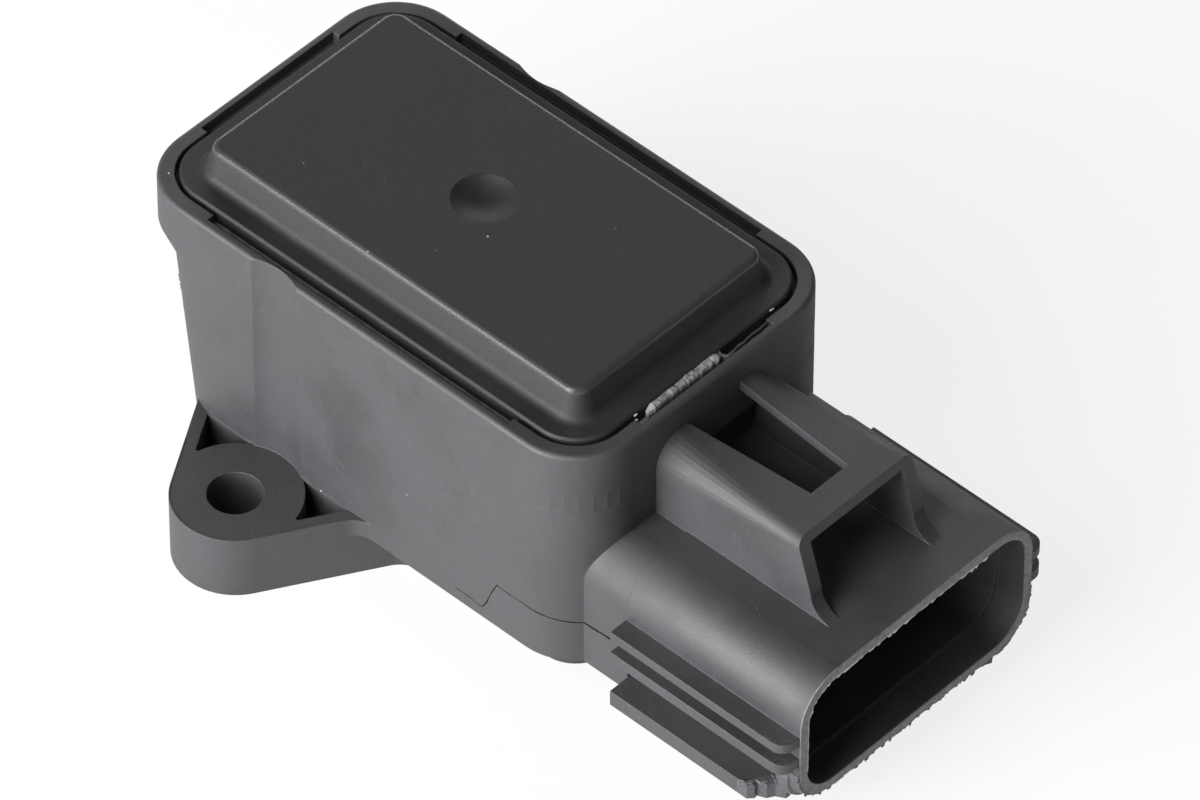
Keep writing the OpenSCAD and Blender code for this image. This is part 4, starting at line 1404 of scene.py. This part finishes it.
@dataclass
class PottedCover(Assembly):
    """The cover, the sealant under it and what was squeezed out or curled up beside it.

    Attributes:
        gap_x: Middle of the gap between the cover and the rim at the plug's end.
        gap_w: Width of that gap.
        top_z: Height that the sealant comes up to.
        squeeze_run: Where the squeezed sealant starts and ends, along Y.
        squeeze_count: How many short pieces it has.
        wide_from: Y from which it gets wider.
        foot_z: How far below the top its foot lies.
        crumbs: Loose crumbs of sealant: X, Y, length and width of each.
        crumb_sides: How many corners a crumb has.
        curl_points: Where the curled edge beside the sealant runs, as X and Y.
    """

    slots: Mapping[str, str] = field(default_factory=lambda: {
        "cover": "cover_plastic", "sealant_bead": "sealant",
    })
    gap_x: float = 36.58
    gap_w: float = 0.98
    top_z: float = 32.0
    squeeze_run: Pair = (-7.1, 2.9)
    squeeze_count: int = 130
    wide_from: float = -3.2
    foot_z: float = 1.1
    crumbs: Tuple[Tuple[float, float, float, float], ...] = (
        (36.5, -8.4, 0.4, 0.16), (36.95, -8.8, 0.22, 0.26), (36.4, 9.85, 0.55, 0.16),
        (-16.0, -15.2, 0.2, 0.18),
    )
    crumb_sides: int = 9
    curl_points: Spots = (
        (36.35, 2.8), (36.85, 2.7), (37.35, 3.0), (37.38, 3.7), (37.15, 4.5), (37.25, 5.3), (37.1, 6.4),
        (37.15, 7.5), (37.05, 8.6),
    )

    def squeezed_ring(self, share: float) -> Ring:
        """Makes one ring of the squeezed sealant.

        Args:
            share: Its place along the ridge, from 0 to 1.

        Returns:
            The ring, over the top and then down to the foot.
        """
        start, stop = self.squeeze_run
        y = start + (stop - start) * share
        end = min(1.0, 14 * share, 14 * (1 - share))
        fine = wobble(y * 2.3, 8.0)
        broad = self.gap_w * (0.36 + 0.2 * min(1.0, max(0.0, (y - self.wide_from) / 2.0)))
        left = self.gap_x + 0.06 - broad * (0.4 + 0.6 * end) - 0.16 * max(0.0, wobble(y * 0.8, 3.0))
        left -= 0.07 * fine
        right = self.gap_x + self.gap_w / 2 * (0.5 + 0.5 * end) + 0.08 * fine
        steps = 8
        ring = []
        for k in range(steps + 1):
            x = left + (right - left) * (k / steps)
            crown = math.sin(math.pi * (k / steps)) ** 0.25 if 0 < k < steps else 0.0
            lump = wobble(x * 2.2, y * 1.5, 4.0) + 0.6 * wobble(x * 5, y * 5, 9.0)
            ring.append(Vector((x, y, self.top_z - 0.3 * (1 - end) - 0.14 + (0.16 + 0.11 * lump) * crown)))
        return ring + [Vector((x, y, self.top_z - self.foot_z)) for x in (right, left)]

    def squeeze(self) -> None:
        """Lays the lumpy ridge of sealant in the gap."""
        draft = Draft()
        draft.loft([self.squeezed_ring(i / self.squeeze_count) for i in range(self.squeeze_count + 1)])
        self.add(draft.piece("sealant_squeeze", smooth=True), "sealant")

    def crumbs_beside(self) -> None:
        """Drops the small torn crumbs of sealant beside the ridge."""
        pick = random.Random(3)
        draft = Draft()
        for x, y, length, width in self.crumbs:
            outline = []
            for k in range(self.crumb_sides):
                turn = 2 * math.pi * k / self.crumb_sides
                r = 1.0 + 0.5 * (pick.random() - 0.5)
                outline.append(Vector((x, y, self.top_z + 0.02)) + Vector((
                    width / 2 * r * math.cos(turn), length / 2 * r * math.sin(turn), 0.1 * pick.random())))
            draft.loft([outline, [p + UP * 0.06 for p in outline]])
        self.add(draft.piece("sealant_crumbs"), "sealant", "sealant_crumb")

    def curl(self) -> None:
        """Leaves the thin sliver of plastic that curls along the rim."""
        path = walk([Vector((x, y, self.top_z - 0.1)) for x, y in self.curl_points], 0.35)
        rings: List[Ring] = []
        for i, spot in enumerate(path):
            along = path[min(i + 1, len(path) - 1)] - path[max(i - 1, 0)]
            side = Vector((-along.y, along.x, 0.0)).normalized()
            wide = 0.06 + 0.2 * abs(wobble(i * 0.35, 1.0))
            rise = 0.12 * wobble(i * 0.22, 6.0)
            section = ((-wide, -0.5), (0.07, -0.5), (0.07, 0.08), (-wide, 0.0))
            rings.append([spot + side * across + UP * (rise + up) for across, up in section])
        draft = Draft()
        draft.loft(rings)
        self.add(draft.piece("sealant_curl"), "housing_plastic")

    def build(self) -> None:
        """Dresses the cover and the bead, and adds what lies beside them."""
        super().build()
        self.squeeze()
        self.crumbs_beside()
        self.curl()


@dataclass
class SensingBoard(Assembly):
    """The circuit board with its tracks and chips."""

    slots: Mapping[str, str] = field(default_factory=lambda: {
        "track_board": "board_laminate", "resistive_tracks": "track_ink",
        "chip_capacitors": "capacitor_ceramic", "chip_resistors": "resistor_body",
    })


@dataclass
class PlugTerminals(Assembly):
    """The six blades and the comb that spaces them."""

    slots: Mapping[str, str] = field(default_factory=lambda: {
        "terminal_carrier": "carrier_plastic",
        **{f"terminal_{number}": "terminal_metal" for number in range(1, 7)},
    })


@dataclass
class SprungRotor(Assembly):
    """The rotor, its contacts, its spring and its bearing."""

    body: Body = Body.ROTOR
    slots: Mapping[str, str] = field(default_factory=lambda: {
        "rotor": "rotor_plastic", "wiper_a": "contact_metal", "wiper_b": "contact_metal",
        "return_spring": "spring_steel", "rotor_bush": "bush_metal", "thrust_washer": "washer_steel",
        "retaining_ring": "ring_steel",
    })


@dataclass
class UndersideSeals(Assembly):
    """The shaft's seal and the o-ring of the mounting face."""

    slots: Mapping[str, str] = field(default_factory=lambda: {
        "shaft_seal": "seal_rubber", "flange_o_ring": "o_ring_rubber",
    })


@dataclass(frozen=True)
class PhotoCamera:
    """The camera of the photograph.

    Attributes:
        yaw: Angle of the picture's right-hand direction from +X, in degrees.
        dip: How far it looks down, in degrees.
        roll: How far it is turned about its own line of sight, in degrees.
        lens: Focal length in millimetres.
        sensor: Width of its sensor in millimetres.
        place: Where it stands, in metres.
        clip: Nearest and furthest distance that it sees, in metres.
    """

    yaw: float = 42.9227
    dip: float = 45.8177
    roll: float = -0.2538
    lens: float = 354.963
    sensor: float = 36.0
    place: Point = (0.540823, -0.555457, 0.799600)
    clip: Pair = (0.1, 10.0)

    def build(self) -> None:
        """Makes the camera and looks through it."""
        yaw, dip, roll = (math.radians(a) for a in (self.yaw, self.dip, self.roll))
        right = round_way(yaw)
        ahead = Vector((-math.sin(yaw) * math.cos(dip), math.cos(yaw) * math.cos(dip), -math.sin(dip)))
        down = ahead.cross(right)
        right_now = math.cos(roll) * right + math.sin(roll) * down
        down_now = -math.sin(roll) * right + math.cos(roll) * down
        camera = bpy.data.objects.new("photo_camera", bpy.data.cameras.new("photo_camera"))
        camera.data.lens = self.lens
        camera.data.sensor_width = self.sensor
        camera.data.clip_start, camera.data.clip_end = self.clip
        pose = Matrix((right_now, -down_now, -ahead)).transposed().to_4x4()
        pose.translation = Vector(self.place)
        camera.matrix_world = pose
        bpy.context.scene.collection.objects.link(camera)
        bpy.context.scene.camera = camera
        LOG.info("photo_camera: lens %.1f mm", self.lens)


@dataclass(frozen=True)
class SoftLamp:
    """A soft lamp that looks at the part.

    Attributes:
        name: The lamp's name.
        azimuth: Its direction from the part, in degrees from -Y towards +X.
        height: Its height angle, in degrees.
        size: Its width and its height, in metres.
        power: Its power, in watts.
        distance: How far away it is, in metres.
        aim: The point that it looks at, in metres.
    """

    name: str
    azimuth: float
    height: float
    size: Pair
    power: float
    distance: float = 1.0
    aim: Point = (0.022, 0.0, 0.015)

    def build(self) -> None:
        """Makes the lamp."""
        turn, rise = math.radians(self.azimuth), math.radians(self.height)
        away = Vector((math.sin(turn) * math.cos(rise), -math.cos(turn) * math.cos(rise), math.sin(rise)))
        lamp = bpy.data.lights.new(self.name, "AREA")
        lamp.shape = "RECTANGLE"
        lamp.size, lamp.size_y = self.size
        lamp.energy = self.power
        made = bpy.data.objects.new(self.name, lamp)
        made.location = Vector(self.aim) + away * self.distance
        made.rotation_euler = (-away).to_track_quat("-Z", "Y").to_euler()
        bpy.context.scene.collection.objects.link(made)
        LOG.info("%s: %.1f W", self.name, self.power)


@dataclass(frozen=True)
class SoftStudio:
    """Plain soft light over a plain pale floor.

    Attributes:
        sky: Grey level of the surroundings.
        floor_white: How white the floor is.
        floor_grey: How grey its darker clouds are, as a share of that white.
        floor_cloud: Clouds in a millimetre.
        floor_rough: The floor's roughness.
        floor_half: Half of its side, in metres.
        floor_low: How far below the mounting face it lies, in millimetres.
        backdrop: How much of the floor's own shadow is lost to plain white in the picture.
        touch: Millimetres within which a face lies on the floor, and looks past it.
        stood_on: Middle and half size of the oblong under the mounting face, in X and in Y.
        lamps: The lamps.
    """

    sky: float = 0.14
    floor_white: float = 0.9
    floor_grey: float = 0.99
    floor_cloud: float = 0.004
    floor_rough: float = 0.9
    floor_half: float = 3.0
    floor_low: float = 0.02
    backdrop: float = 0.8
    touch: float = 0.15
    stood_on: Spots = ((10.75, 22.0), (0.0, 11.5))
    lamps: Tuple[SoftLamp, ...] = (
        SoftLamp("window_lamp", azimuth=-15.0, height=16.0, size=(0.6, 0.6), power=14.0),
        SoftLamp("low_lamp", azimuth=5.0, height=5.0, size=(0.5, 0.5), power=8.0),
        SoftLamp("front_lamp", azimuth=0.0, height=42.0, size=(0.5, 0.5), power=7.0),
        SoftLamp("back_lamp", azimuth=-137.0, height=18.0, size=(0.75, 0.2), power=3.0),
    )

    def open_floor(self, web: Wiring, path: Node) -> Feed:
        """Finds where the floor lets light and sight through.

        It does so from behind, close to a face that lies on it, and under the mounting face, so
        that the underside is lit and can be seen from below.

        Args:
            web: The floor's tree.
            path: Its Light Path node.

        Returns:
            A mask of those places.
        """
        behind = web.node("ShaderNodeNewGeometry").outputs["Backfacing"]
        touching = web.maths("LESS_THAN", path.outputs["Ray Length"], self.touch * MM)
        at = web.parts(web.place_mm())
        under = web.product(*(web.maths("LESS_THAN", web.gap(at[axis], middle), half)
                              for axis, (middle, half) in zip("XY", self.stood_on)))
        return web.maths("MAXIMUM", web.maths("MAXIMUM", behind, touching), under)

    def floor_finish(self) -> bpy.types.Material:
        """Makes the floor's pale matt finish.

        Returns:
            The material.
        """
        made, web, shader = shader_of("studio_floor")
        shade = web.spread(web.cloud(web.place_mm(), self.floor_cloud), 0.3, 0.7)
        white = self.floor_white
        web.feed(shader.inputs["Base Color"], web.tint(shade, (white * self.floor_grey,) * 3, (white,) * 3))
        shader.inputs["Roughness"].default_value = self.floor_rough
        shader.inputs["Specular IOR Level"].default_value = 0.0
        path = web.node("ShaderNodeLightPath")
        seen = web.product(path.outputs["Is Camera Ray"], self.backdrop)
        paper = web.node("ShaderNodeEmission", {"Color": (1.0, 1.0, 1.0, 1.0), "Strength": 1.0})
        lit = web.node("ShaderNodeMixShader", {0: seen, 1: shader.outputs[0], 2: paper.outputs[0]})
        clear = web.node("ShaderNodeBsdfTransparent")
        mix = web.node("ShaderNodeMixShader", {
            0: self.open_floor(web, path), 1: lit.outputs[0], 2: clear.outputs[0]})
        web.feed(made.node_tree.nodes["Material Output"].inputs["Surface"], mix.outputs[0])
        return made

    def floor(self) -> None:
        """Lays the floor, which can be seen through from below."""
        side = self.floor_half / MM
        draft = Draft()
        corners = [Vector((x * side, y * side, -self.floor_low))
                   for x, y in ((-1, -1), (1, -1), (1, 1), (-1, 1))]
        draft.mesh.faces.new([draft.mesh.verts.new(p * MM) for p in corners])
        plane = draft.piece("studio_floor")
        plane.data.materials.append(self.floor_finish())

    def build(self) -> None:
        """Makes the surroundings, the lamps and the floor."""
        world = bpy.data.worlds.new("soft_studio")
        world.use_nodes = True
        world.node_tree.nodes["Background"].inputs["Color"].default_value = (self.sky,) * 3 + (1.0,)
        bpy.context.scene.world = world
        for lamp in self.lamps:
            lamp.build()
        self.floor()
        bpy.context.scene.view_settings.view_transform = "Standard"
        LOG.info("soft_studio: %d lamps", len(self.lamps))


def main() -> None:
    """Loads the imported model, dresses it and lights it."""
    logging.basicConfig(level=logging.INFO, format="%(name)s %(message)s")
    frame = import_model()
    PhotoCamera().build()
    finishes = Finishes()
    parts = (MouldedHousing, PottedCover, SensingBoard, PlugTerminals, SprungRotor, UndersideSeals)
    for part in parts:
        part(frame["nodes"], finishes).build()
    SoftStudio().build()


if __name__ == "__main__":
    main()
